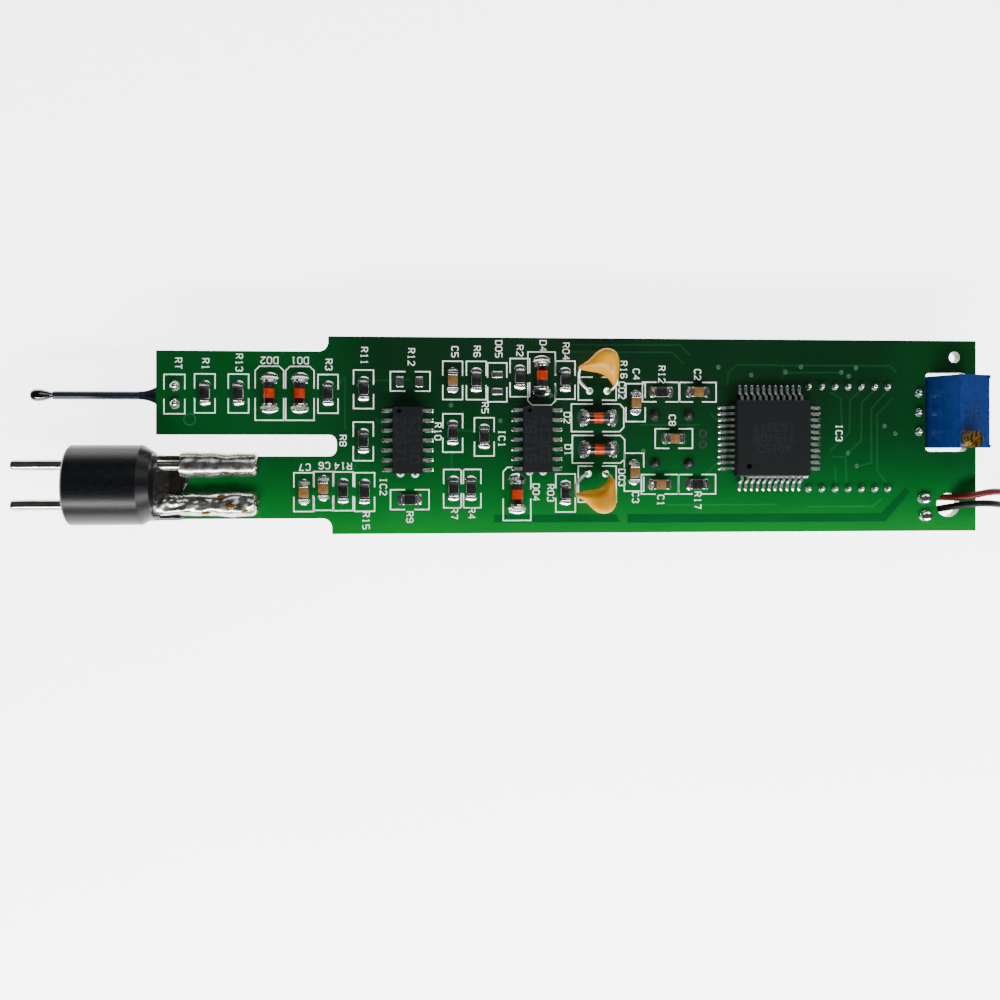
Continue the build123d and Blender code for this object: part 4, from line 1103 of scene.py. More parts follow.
# ---------------------------------------------------------------- circuit board
class Stroke(Enum):
    """Printed characters, each as strokes on a grid four wide and six high."""

    C = ((4, 5), (3, 6), (1, 6), (0, 5), (0, 1), (1, 0), (3, 0), (4, 1)),
    D = ((0, 0), (0, 6), (3, 6), (4, 5), (4, 1), (3, 0), (0, 0)),
    I = ((2, 0), (2, 6)), ((1, 0), (3, 0)), ((1, 6), (3, 6))
    R = ((0, 0), (0, 6), (3, 6), (4, 5), (4, 4), (3, 3), (0, 3)), ((2, 3), (4, 0))
    T = ((0, 6), (4, 6)), ((2, 6), (2, 0))
    U = ((0, 6), (0, 1), (1, 0), (3, 0), (4, 1), (4, 6)),
    N0 = ((1, 0), (0, 1), (0, 5), (1, 6), (3, 6), (4, 5), (4, 1), (3, 0), (1, 0)),
    N1 = ((1, 5), (2, 6), (2, 0)), ((1, 0), (3, 0))
    N2 = ((0, 5), (1, 6), (3, 6), (4, 5), (4, 4), (0, 0), (4, 0)),
    N3 = ((0, 5), (1, 6), (3, 6), (4, 5), (4, 4), (3, 3), (4, 2), (4, 1), (3, 0), (1, 0), (0, 1)),
    N4 = ((3, 0), (3, 6), (0, 2), (4, 2)),
    N5 = ((4, 6), (0, 6), (0, 3), (3, 3), (4, 2), (4, 1), (3, 0), (0, 0)),
    N6 = ((4, 5), (3, 6), (1, 6), (0, 5), (0, 1), (1, 0), (3, 0), (4, 1), (4, 2), (3, 3), (0, 3)),
    N7 = ((0, 6), (4, 6), (2, 0)),
    N8 = ((1, 3), (0, 4), (0, 5), (1, 6), (3, 6), (4, 5), (4, 4), (3, 3), (1, 3), (0, 2), (0, 1), (1, 0),
          (3, 0), (4, 1), (4, 2), (3, 3)),
    N9 = ((0, 1), (1, 0), (3, 0), (4, 1), (4, 5), (3, 6), (1, 6), (0, 5), (0, 4), (1, 3), (4, 3)),

    @classmethod
    def of(cls, sign: str) -> "Stroke":
        """The strokes of one letter or digit."""
        return cls[f"N{sign}"] if sign.isdigit() else cls[sign]



@dataclass
class Silkscreen:
    """Printed lines and characters on a plane.

    Attributes:
        plane: Height of the surface that it is printed on.
        line: Width of a printed line.
        letter: Height of a letter.
        ink: How far the ink stands proud.
        pen: Width of a letter's strokes.
        gap: Half of the gap in a part's outline.
        cut: How much of an outline's cut corner is gone.
        made: Mesh that takes the print.
    """

    plane: float
    line: float = 0.15
    letter: float = 0.82
    ink: float = PRINT_RISE
    pen: float = 0.12
    gap: float = 0.6
    cut: float = 0.55
    made: Mesh = field(default_factory=bmesh.new)

    def draw(self, path: Sequence[Flat], closed: bool = False, width: float = 0.0) -> None:
        """Print one line."""
        strip(self.made, path, width or self.line, self.plane, self.ink, closed)

    def text(self, words: str, middle: Flat, turn: float) -> None:
        """Print a row of characters.

        Args:
            words: The characters.
            middle: Middle of the row.
            turn: Angle in degrees that the row is turned by.
        """
        unit = self.letter / LETTER_STEPS
        pitch = LETTER_PITCH * unit
        start = -(len(words) * pitch - LETTER_GAP * unit) / 2
        cosine, sine = math.cos(math.radians(turn)), math.sin(math.radians(turn))
        for index, sign in enumerate(words):
            for path in Stroke.of(sign).value:
                closed = len(path) > 2 and path[0] == path[-1]
                corners = path[:-1] if closed else path
                flat = [(start + index * pitch + x * unit, (y - LETTER_STEPS / 2) * unit) for x, y in corners]
                turned = [(middle[0] + x * cosine - y * sine, middle[1] + x * sine + y * cosine) for x, y in flat]
                self.draw(turned, closed, self.pen)

    def part_box(self, low: Vector, high: Vector, half: Flat, cut_at: int = 0) -> None:
        """Print a part's outline in two halves with a gap between them.

        Args:
            low: Lowest corner of the part.
            high: Highest corner of the part.
            half: From the middle to each end line and to each side line.
            cut_at: End whose corners are cut off, plus or minus one, or nought for none.
        """
        middle, gap = (low + high) / 2, self.gap
        half_length, half_width = half
        for sign in (-1, 1):
            cut = self.cut if sign == cut_at else 0.0
            ax, ay = shifted(ORIGIN, lengthwise(high - low), sign)
            corners = [(gap, -half_width), (half_length - cut, -half_width), (half_length, -half_width + cut),
                       (half_length, half_width - cut), (half_length - cut, half_width), (gap, half_width)]
            unique = list(dict.fromkeys(corners))
            self.draw([(middle.x + x * ax - y * ay, middle.y + x * ay + y * ax) for x, y in unique])

    def finish(self, name: str, look: Finish, slot: str) -> None:
        """Turn everything printed into one piece with this name and look."""
        Shop.mesh(name, self.made, look, slot)


class Turn(Enum):
    """Ways that a designator is printed."""

    DOWNWARD = -90
    UPSIDE_DOWN = 180


@dataclass(frozen=True)
class Tag:
    """A designator and its part's outline.

    Attributes:
        words: The designator.
        shift: Where it is printed, from the middle of its part.
        turn: Which way it reads.
        drop: How far below the part its outline is printed.
        end: End of a diode that carries its band, plus or minus one.
    """

    words: str
    shift: Flat
    turn: Turn = Turn.DOWNWARD
    drop: float = 0.0
    end: int = 1


ABOVE = (0.1, 3.75)
BELOW = (0.2, -3.7)
BESIDE = (-2.6, 0.1)

# From left to right, as the chips of each CAD node are found.
RESISTOR_TAGS = (
    Tag("R1", ABOVE), Tag("R13", (0.1, 3.95)), Tag("R3", ABOVE), Tag("R14", (0.0, 3.25), Turn.UPSIDE_DOWN),
    Tag("R8", BESIDE), Tag("R11", (0.1, 4.3)), Tag("R15", BELOW), Tag("R9", (0.0, -2.25)),
    Tag("R10", (-1.9, 0.2)), Tag("R7", (0.1, -3.2)), Tag("R4", (0.1, -3.2)), Tag("R6", ABOVE),
    Tag("R5", ABOVE), Tag("R2", (0.0, 3.5)), Tag("R04", ABOVE), Tag("R03", (-1.95, 0.0)),
    Tag("R12", (0.1, 2.3)), Tag("R17", (0.1, -2.1)),
)
CAPACITOR_TAGS = (
    Tag("C7", (0.1, 3.2), Turn.UPSIDE_DOWN), Tag("C6", (0.1, 2.9), Turn.UPSIDE_DOWN, 0.35), Tag("C5", (0.3, 3.7)),
    Tag("C3", (0.2, -3.3)), Tag("C4", (0.1, 3.7)), Tag("C1", (0.1, -2.1)), Tag("C8", (-0.2, 2.4)),
    Tag("C2", (0.0, 2.3)),
)
DIODE_TAGS = {
    "diode_a": Tag("D02", (0.0, 4.2), Turn.UPSIDE_DOWN), "diode_b": Tag("D01", (0.0, 4.2), Turn.UPSIDE_DOWN),
    "diode_c": Tag("D4", (0.2, 3.95), drop=0.3, end=-1), "diode_d": Tag("D04", (2.5, 0.2)),
    "diode_e": Tag("D2", (-4.0, 0.0)), "diode_f": Tag("D1", (-4.0, -0.1)),
}
# Designators away from their parts, or of parts that were never fitted.
LOOSE_WORDS = (
    ("R12", (-12.7, 10.1)), ("IC2", (-16.3, -6.6)), ("IC1", (-1.0, -0.4)), ("D05", (-1.4, 11.2)),
    ("IC3", (43.9, 0.4)), ("R16", (15.0, 8.6)), ("C02", (14.75, 5.9)), ("D03", (14.75, -5.5)),
    ("RT", (-42.2, 9.1)),
)


@dataclass
class CircuitBoard:
    """The routed board with its copper under mask, its print, its vias and its tinned pads.

    Attributes:
        trace: Width of a signal trace.
        copper: How far masked copper stands proud.
        via: Outer radius of a via's ring.
        pad: Thickness of a tinned pad.
        top: Height of the board's upper face, found when it is built.
        bottom: Height of its lower face, found when it is built.
        vias: Places of the vias.
        bare_pads: Middle and half width and depth of each pad of a part that was never fitted.
        traces: Middle lines of the traces on the top.
        pours: Outlines of the broad copper areas on the top.
        under_traces: Middle lines of the traces on the underside.
        boxes: Corners of the outlines round empty places, dipped capacitors and the thermistor's joints.
        arcs: Middles of the small arcs printed below the two amplifiers.
    """

    trace: float = 0.2
    copper: float = 0.006
    via: float = 0.3
    pad: float = 0.03
    top: float = 0.0
    bottom: float = 0.0
    vias: tuple[Flat, ...] = (
        (46.2, 9.0), (45.2, 7.9), (36.6, 8.4), (38.7, 9.1), (32.0, 8.0), (44.2, 8.4), (27.6, 9.0), (45.1, -2.3),
        (46.3, -4.0), (50.1, 1.3), (51.6, 0.3), (17.6, -2.0), (-19.4, 6.4), (-7.6, 3.9), (-1.2, 1.9), (5.4, 5.2),
    )
    bare_pads: tuple[tuple[float, ...], ...] = (
        (-14.2, 6.9, 0.55, 0.75), (-11.7, 6.9, 0.55, 0.75), (-1.6, 7.9, 0.75, 0.5), (-1.6, 5.7, 0.75, 0.5),
    )
    traces: tuple[tuple[Flat, ...], ...] = (
        ((28.8, 6.6), (28.9, 8.3), (30.0, 9.3), (50.9, 9.3), (51.8, 8.4)), ((36.6, 8.3), (44.2, 8.4)),
        ((46.9, 6.1), (45.4, 4.7), (45.3, 0.4), (42.7, -2.0)), ((48.8, 6.1), (47.0, 4.4), (46.9, -0.7), (45.1, -2.2)),
        ((50.6, 6.1), (48.3, 3.6), (48.3, -3.6), (46.4, -4.1)),
        ((51.3, 5.1), (49.1, 2.8), (49.1, -4.7), (50.6, -6.5)),
        ((7.9, 11.8), (22.5, 11.9), (23.8, 10.5)), ((7.9, 10.9), (21.4, 10.9), (23.0, 9.4)),
        ((-12.9, 7.2), (-18.9, 7.0)), ((-23.1, 5.6), (-21.2, 7.4), (-21.2, 0.7)), ((-7.7, 0.7), (-3.8, 0.5)),
        ((-7.5, -1.9), (-7.5, -4.4)), ((17.2, 1.4), (25.1, 1.4)), ((-19.3, -2.6), (-20.3, -5.0)),
        ((-17.3, 2.2), (-16.4, 1.3)), ((20.0, 6.8), (23.0, 6.8), (24.4, 5.4)), ((36.4, 7.7), (36.4, 9.2)),
        ((42.6, 5.8), (44.1, 5.0), (44.3, 1.3)), ((43.0, -2.8), (44.8, -2.8), (44.9, -6.4)),
        ((43.3, -4.0), (43.5, -6.5)),
        ((39.5, -9.4), (48.5, -9.4), (49.8, -8.3)), ((26.0, -5.0), (28.8, -2.3)), ((26.4, 3.0), (27.5, 2.0)),
        ((20.6, -9.1), (35.4, -9.1)),
    )
    pours: tuple[tuple[Flat, ...], ...] = (
        ((-2.0, -10.3), (14.0, -10.3), (14.5, -11.3), (-2.0, -11.3)),
        ((15.5, -10.3), (49.6, -10.3), (53.0, -6.9), (53.6, -7.5), (50.2, -11.4), (15.5, -11.4)),
    )
    under_traces: tuple[tuple[Flat, ...], ...] = (
        ((-41.0, 6.3), (-30.0, 8.6), (-8.0, 8.6)), ((-30.5, -6.0), (-20.0, -6.0), (-12.0, -9.4), (10.0, -9.4)),
        ((-18.0, 3.2), (-4.0, 3.2), (2.0, 9.0), (10.0, 9.0)), ((-12.0, -1.6), (6.0, -1.6), (9.0, -4.6), (14.0, -4.6)),
        ((16.0, -10.8), (53.0, -10.8)), ((16.0, 11.2), (53.0, 11.2)), ((-6.0, 0.6), (12.0, 0.6)),
        ((-44.0, 6.3), (-36.0, 2.4), (-24.0, 2.4)), ((3.0, 10.4), (13.0, 10.4)),
    )
    boxes: tuple[tuple[float, ...], ...] = (
        (-15.4, 5.7, -10.3, 8.2), (-2.85, 4.35, -0.35, 9.4), (9.0, 4.6, 14.0, 7.6), (9.0, -8.7, 14.0, -4.0),
        (-44.0, 2.7, -41.4, 7.7),
    )
    arcs: tuple[Flat, ...] = ((-14.1, -4.9), (-12.2, -5.0), (2.6, -4.7), (4.4, -4.7))

    def build(self) -> None:
        """Dress the board and lay everything printed, etched and tinned on it."""
        low, high = node_box("circuit_board")
        self.bottom, self.top = low.z, high.z
        dress(BOARD_MASK, "circuit_board")
        self.etch()
        self.tin()
        self.print_top()
        self.print_bottom()
        LOG.info("circuit board: copper, pads, vias and print")

    def etch(self) -> None:
        """Lay masked traces on both sides and the two broad pours on the top."""
        traces, pours = bmesh.new(), bmesh.new()
        for path in self.traces:
            strip(traces, path, self.trace, self.top, self.copper)
        for path in self.under_traces:
            strip(traces, path, self.trace * 1.4, self.bottom, -self.copper)
        Shop.mesh("masked_traces", traces, MASK_ON_COPPER, "fr4")
        for outline in self.pours:
            slab(pours, outline, self.top, self.copper)
        Shop.mesh("masked_pours", pours, MASK_ON_POUR, "fr4")

    def tin(self) -> None:
        """Make the vias, the tinned pads that stand empty and the one masked ring."""
        ring, tinned, tented = (bmesh.new() for _ in range(3))
        strip(ring, circle((-40.8, 2.0), 0.72, 30), 0.12, self.top, MARK_RISE, closed=True)
        Shop.mesh("unused_pad_ring", ring, MASK_ON_VIA, "fr4")
        for x, y, half_x, half_y in self.bare_pads:
            low, high = (x - half_x, y - half_y, self.top - 0.15), (x + half_x, y + half_y, self.top + 0.22)
            for vert in rounded_box(tinned, low, high, 0.2, 4):
                vert.co.z = max(vert.co.z, self.top)
        for y in (0.3, -1.15):
            strip(tinned, circle((25.5, y), 0.425, 24), 0.25, self.top, self.pad, closed=True)
        Shop.mesh("tinned_pads", tinned, BRIGHT_SOLDER, "tin", smooth=60)
        shares = ((1.0, -0.01), (1.0, 0.01), (0.8, 0.03), (0.4, 0.03), (0.2, -0.005))
        profile = ((0, -0.01), *((self.via * share, rise) for share, rise in shares), (0, -0.008))
        for place in self.vias:
            for plane, sign in ((self.top, 1), (self.bottom, -1)):
                lathe(tented, profile, (*place, plane), UP * sign, 20)
        Shop.mesh("tented_vias", tented, MASK_ON_VIA, "fr4", smooth=60)

    def print_top(self) -> None:
        """Print outlines around the parts and their designators."""
        ink = Silkscreen(self.top)
        for tags, node in ((RESISTOR_TAGS, "chip_resistors"), (CAPACITOR_TAGS, "chip_capacitors")):
            for tag, box in zip(tags, islands(node)):
                self.tag(ink, tag, box, CHIP_OUTLINE)
        for node, tag in DIODE_TAGS.items():
            self.tag(ink, tag, node_box(node), DIODE_OUTLINE, tag.end)
        for low_x, low_y, high_x, high_y in self.boxes:
            low, high = Vector((low_x, low_y, 0)), Vector((high_x, high_y, 0))
            size = high - low
            ink.part_box(low, high, (max(size) / 2, min(size.x, size.y) / 2))
        for x, y in self.arcs:
            turns = [math.radians(a) for a in range(0, 181, 20)]
            ink.draw([(x + 0.36 * math.cos(t), y - 0.36 * math.sin(t)) for t in turns], width=0.28)
        # One heavier line turns the controller's lower left corner.
        ink.draw(((30.0, -3.95), (31.5, -5.5), (39.5, -5.5), (39.8, -5.2)), width=0.2)
        for words, middle in LOOSE_WORDS:
            ink.text(words, middle, Turn.DOWNWARD.value)
        ink.finish("silkscreen", SILK_INK, "fr4")

    def tag(self, ink: Silkscreen, tag: Tag, box: Box, half: Flat, cut_at: int = 0) -> None:
        """Print a part's outline, and its designator beside it.

        Args:
            ink: Print that takes both.
            tag: The designator.
            box: Lowest and highest corner of the part.
            half: Half length and half width of the outline.
            cut_at: End whose corners are cut off, or nought for none.
        """
        low, high = box
        middle = (low + high) / 2
        drop = Vector((0, tag.drop, 0))
        ink.part_box(low - drop, high - drop, half, cut_at)
        ink.text(tag.words, (middle.x + tag.shift[0], middle.y + tag.shift[1]), tag.turn.value)

    def print_bottom(self) -> None:
        """Print the outlines of the display and the switch on the underside."""
        made = bmesh.new()
        margin = Vector((0.6, 0.6, 0))
        for node in ("display_rear_glass", "switch_base"):
            low, high = node_box(node)
            outline = rectangle(*(low - margin).xy, *(high + margin).xy)
            strip(made, outline, 0.17, self.bottom, -PRINT_RISE, closed=True)
        Shop.mesh("silkscreen_underside", made, SILK_INK, "fr4")


# ---------------------------------------------------------------- probe and thermistor
@dataclass
class Probe:
    """Two polished pins in a rubber holder, potted and soldered along their pads.

    Attributes:
        columns: How finely a strip is divided along.
        rows: How finely a strip is divided across.
        extra: How far the solder rises over its pin.
        collar_steps: How finely the collar is divided along and across.
        collar_half: Half of the collar's width at the holder and at its front.
        collar_rise: Height that it falls over the potting, and height of its front.
    """

    columns: int = 72
    rows: int = 18
    extra: float = 0.18
    collar_steps: tuple[int, int] = (16, 32)
    collar_half: Flat = (4.25, 3.9)
    collar_rise: Flat = (2.2, 0.37)

    def build(self) -> None:
        """Dress the pins, the holder and the potting, and lay the lumpy solder."""
        for side, phase in (("upper", 0.0), ("lower", 2.1)):
            dress(POLISHED_STEEL, f"electrode_{side}")
            self.solder_strip(f"electrode_solder_{side}", f"electrode_{side}", phase, side == "lower")
        dress(HOLDER_RUBBER, "probe_holder")
        dress(POTTING_RESIN, "probe_potting")
        self.collar()
        self.residue()
        LOG.info("probe: pins, holder, potting and hand-made joints")

    def collar(self) -> None:
        """Run a resin collar from the holder's neck down to the board, round the pins' roots, ending in a thin film
        that is painted shadow.
        """
        low, high = node_box("probe_potting")
        made = bmesh.new()
        middle, top = (low.y + high.y) / 2, node_box("circuit_board")[1].z
        start = node_box("probe_holder")[1].x - 0.6
        steps, columns = self.collar_steps
        grid = []
        for i in range(steps + 1):
            ring = []
            for j in range(columns + 1):
                v = 2 * j / columns - 1
                # The front wavers with noise; past the potting the thin film is painted shadow on the board, not
                # resin.
                front = high.x + 0.5 + 0.8 * noise.noise(Vector((2.1 * v, 0.7, 4.0)))
                x = start + (front - start) * i / steps
                back = max(1 - (x - start) / (high.x - start), 0.0)
                thin = min(max((front - x) / (front - high.x + 0.2), 0.0), 1.0) ** 0.5
                arch = max(1 - abs(v) ** 3.2, 0.0) ** 0.5
                rise = (self.collar_rise[0] * back ** 1.6 + self.collar_rise[1]) * thin * arch
                half = self.collar_half[0] + (self.collar_half[1] - self.collar_half[0]) * i / steps
                ring.append(made.verts.new((x, middle + half * v, top - 0.02 + rise)))
            grid.append(ring)
        grounded(made, grid, top - 0.06)
        Shop.mesh("potting_collar_and_shadow_film", made, POTTING_RESIN, "epoxy_black", smooth=60)

    def lump(self, u: float, v: float, phase: float, rough: bool) -> float:
        """Uneven height of hand-laid solder.

        Args:
            u: Place along the strip, nought to one.
            v: Place across it, minus one to one.
            phase: Shift of its lumps.
            rough: Whether it froze in ridges.

        Returns:
            Height over or under the even surface.
        """
        broad = noise.noise(Vector((9 * u, 1.6 * v, phase)))
        fine = noise.noise(Vector((26 * u, 3.5 * v, 3 * phase)))
        return 0.17 * broad + 0.07 * fine if rough else 0.035 * broad + 0.008 * fine

    def solder_strip(self, node: str, pin: str, phase: float, rough: bool) -> None:
        """Lay one strip of solder over its pin.

        Args:
            node: CAD node of the strip.
            pin: CAD node of the pin that it covers.
            phase: Shift of its lumps.
            rough: Whether it froze in ridges.
        """
        low, high = node_box(node)
        made = bmesh.new()
        middle, half = (low.y + high.y) / 2, (high.y - low.y) / 2
        crown = node_box(pin)[1].z - low.z + self.extra
        grid = []
        # The rough strip runs on over the potting, up to the holder.
        start, end = (node_box("probe_holder")[1].x if rough else low.x) - 0.05, high.x + 0.15
        for i in range(self.columns + 1):
            u = i / self.columns
            # The strip rounds off at its free end.
            tail = math.sqrt(max(1 - ((u - 0.93) / 0.07) ** 2, 0.0)) if u > 0.93 else 1.0
            width = half * (1 + 0.05 * math.sin(7 * u + phase) + 0.03 * math.sin(19 * u)) * (0.55 + 0.45 * tail)
            line = []
            for j in range(self.rows + 1):
                v = 2 * j / self.rows - 1
                lump = self.lump(u, v, phase, rough) * 0.5
                arch = max(1 - abs(v) ** 2.6, 0.0) ** 0.62
                lift = crown * arch * (0.5 + 0.5 * tail) * (1 + lump) + lump * (1 - v ** 4) * tail
                place = (start + (end - start) * u, middle + v * width, low.z + min(max(lift, 0.02), crown + 0.12))
                line.append(made.verts.new(place))
            grid.append(line)
        grounded(made, grid, low.z)
        Shop.mesh(f"{node}_bead", made, HAND_SOLDER, "solder", (node,), 60)

    def residue(self) -> None:
        """Leave amber flux on the lower strip and along its edges."""
        low, high = node_box("electrode_solder_lower")
        made = bmesh.new()
        top = node_box("electrode_lower")[1].z + self.extra
        for x, y, radius, stretch, depth in (
            (-36.6, 0.9, 0.42, 1.3, 0.28), (-35.4, -0.2, 0.35, 2.2, 0.05), (-33.8, -0.75, 0.34, 1.8, 0.22),
            (-38.6, -1.0, 0.3, 2.4, 0.34), (-32.2, 0.4, 0.3, 0.8, 0.9),
        ):
            middle = Vector((x, (low.y + high.y) / 2 + y, top - depth))
            profile = ((0, -0.3), (radius, -0.3), (radius * 0.95, 0.02), (radius * 0.55, 0.1), (0, 0.12))
            for vert in lathe(made, profile, ORIGIN, steps=18):
                vert.co.x *= stretch * (1 + 0.15 * math.sin(3 * math.atan2(vert.co.y, vert.co.x)))
                vert.co += middle
        Shop.mesh("flux_residue", made, FLUX, "solder", smooth=80)


class Thermistor:
    """A glass-hard bead on two fine wires in a blue sleeve."""

    def build(self) -> None:
        """Dress the bead, the sleeve, the wires and their joints."""
        dress(BEAD_RESIN, "thermistor_bead")
        dress(SLEEVE_PVC, "thermistor_sleeve", "thermistor_wire_1", "thermistor_wire_2")
        low, high = node_box("thermistor_sleeve")
        end = Vector((high.x, (low.y + high.y) / 2, (low.z + high.z) / 2))
        bends = ((-0.6, 0.2, 0), (0.6, 0.22, 0), (1.7, 0.55, 0), (2.6, 1.0, 0), (3.4, 1.12, -0.05))
        for wire, sign in (("thermistor_wire_1", 1), ("thermistor_wire_2", -1)):
            jacket = [end + Vector((x, sign * y, z)) for x, y, z in bends]
            Shop.wire(f"{wire}_jacket", jacket, 0.62, SLEEVE_PVC, "sleeve")
        flare = bmesh.new()
        profile = ((0, -0.6), (0.5, -0.6), (0.56, 0.4), (0.72, 1.8), (1.02, 3.2), (0.9, 3.3), (0, 3.3))
        for vert in lathe(flare, profile, ORIGIN, Vector((1, 0, 0)), 28):
            vert.co.z *= 0.5
            vert.co += end
        Shop.mesh("sleeve_flare", flare, SLEEVE_PVC, "sleeve", smooth=70)
        Joints("thermistor_joints", lead=0.2, sink=0.15).build()
        LOG.info("thermistor: bead, sleeve and wires")


# ---------------------------------------------------------------- trimmer, display, switch
@dataclass
class Trimmer:
    """The leaning multiturn potentiometer.

    Attributes:
        lean: Angle in degrees that it leans away from upright.
        nub: Side of the small feet at the corners of its top.
    """

    lean: float = 17.0
    nub: float = 0.45

    def build(self) -> None:
        """Dress the trimmer's solids and add its marks and feet."""
        dress(TRIMMER_BLUE, "trimmer_housing")
        dress(TRIMMER_RESIN, "trimmer_base")
        dress(TURNED_BRASS, "trimmer_screw", "trimmer_wiper")
        dress(NATURAL_NYLON, "trimmer_rotor")
        dress(PRESSED_STEEL, "trimmer_axle")
        dress(ALUMINA, "trimmer_element")
        dress(TINNED_LEAD, "trimmer_leads")
        Joints("trimmer_joints", spread=0.85).build()
        low, high = node_box("trimmer_housing")
        cosine, sine = math.cos(math.radians(self.lean)), math.sin(math.radians(self.lean))
        # Height and width of the leaning block, worked out from its upright box.
        size = high - low
        height = (size.z * cosine - size.x * sine) / (cosine * cosine - sine * sine)
        width = (size.x * cosine - size.z * sine) / (cosine * cosine - sine * sine)
        turn = Matrix(((cosine, 0, -sine), (0, 1, 0), (sine, 0, cosine))).transposed().to_4x4()
        place = Matrix.Translation((low + high) / 2) @ turn
        self.marks(place, height / 2)
        self.ears(place, width / 2, size.y / 2, height / 2)
        LOG.info("trimmer: housing, screw and joints")

    def marks(self, place: Matrix, top: float) -> None:
        """Print two made-up numbers across the top.

        Args:
            place: Turn and shift from the block's own frame, Z up its height from its middle.
            top: Height of its top in that frame.
        """
        ink = Silkscreen(top, letter=0.96, ink=MARK_RISE)
        for words, middle in (("502", (0.2, 0.036)), ("13", (-1.15, 0.508))):
            ink.text(words, middle, Turn.DOWNWARD.value)
        ink.made.transform(place)
        ink.finish("trimmer_top_marks", TRIMMER_INK, "blue")

    def ears(self, place: Matrix, half_width: float, half_depth: float, top: float) -> None:
        """Add the two small feet that stand out at the far corners of the top.

        Args:
            place: Turn and shift from the block's own frame.
            half_width: Half of its width.
            half_depth: Half of its length along the board's end.
            top: Height of its top in that frame.
        """
        made = bmesh.new()
        for sign in (-1, 1):
            y = sign * (half_depth - self.nub / 2)
            rounded_box(made, (half_width - self.nub, y - self.nub / 2, top - 1.2),
                        (half_width + 0.25, y + self.nub / 2, top), 0.08)
        made.transform(place)
        Shop.mesh("trimmer_ears", made, TRIMMER_BLUE, "blue")


@dataclass
class Display:
    """The reflective display under the board, with its segments at rest.

    Attributes:
        digits: How many digits it has.
        stroke: Width of a segment.
        half: Half of a digit's width and height.
    """

    digits: int = 3
    stroke: float = 0.62
    half: Flat = (1.5, 3.0)

    def build(self) -> None:
        """Dress the layers and lay the segments between the two glasses."""
        dress(FRONT_FILM, "display_front_polariser")
        dress(DISPLAY_GLASS, "display_front_glass", "display_rear_glass")
        dress(POLARISER_FILM, "display_reflector")
        dress(TINNED_LEAD, "display_pins")
        Joints("display_joints", lead=0.16, sink=0.2, spread=0.68).build()
        low, high = node_box("display_front_polariser")
        plane = node_box("display_rear_glass")[0].z - 0.02
        made = bmesh.new()
        pitch = (high.x - low.x) / (self.digits + 0.6)
        for index in range(self.digits):
            self.digit(made, low.x + pitch * (index + 0.8), (low.y + high.y) / 2, plane)
        Shop.mesh("display_segments", made, SEGMENT_INK, "polariser")
        LOG.info("display: %d digits", self.digits)

    def digit(self, made: Mesh, x: float, y: float, z: float) -> None:
        """Lay the seven segments and the point of one digit.

        Args:
            made: Mesh that takes them.
            x: Middle of the digit along the board.
            y: Middle of the digit across the board.
            z: Height of the plane between the glasses.
        """
        half_w, half_t = self.half
        s = self.stroke
        for level in (-half_t, 0, half_t):
            strip(made, ((x - half_w + s, y + level), (x + half_w - s, y + level)), s, z, MARK_RISE)
        for side in (-half_w, half_w):
            for base in (y - half_t, y):
                strip(made, ((x + side, base + s * 0.8), (x + side, base + half_t - s * 0.8)), s, z, MARK_RISE)
        slab(made, circle((x + half_w + 0.8, y + half_t), 0.35, 16), z, MARK_RISE)


class PushSwitch:
    """The push switch beside the display."""

    def build(self) -> None:
        """Dress the switch's solids."""
        dress(SWITCH_NYLON, "switch_base", "switch_plunger")
        dress(PRESSED_STEEL, "switch_cover", "switch_dome")
        dress(TINNED_LEAD, "switch_legs")
        Joints("switch_joints", lead=0.25, solder=DULL_TIN).build()
        LOG.info("switch: base, cover, dome and plunger")


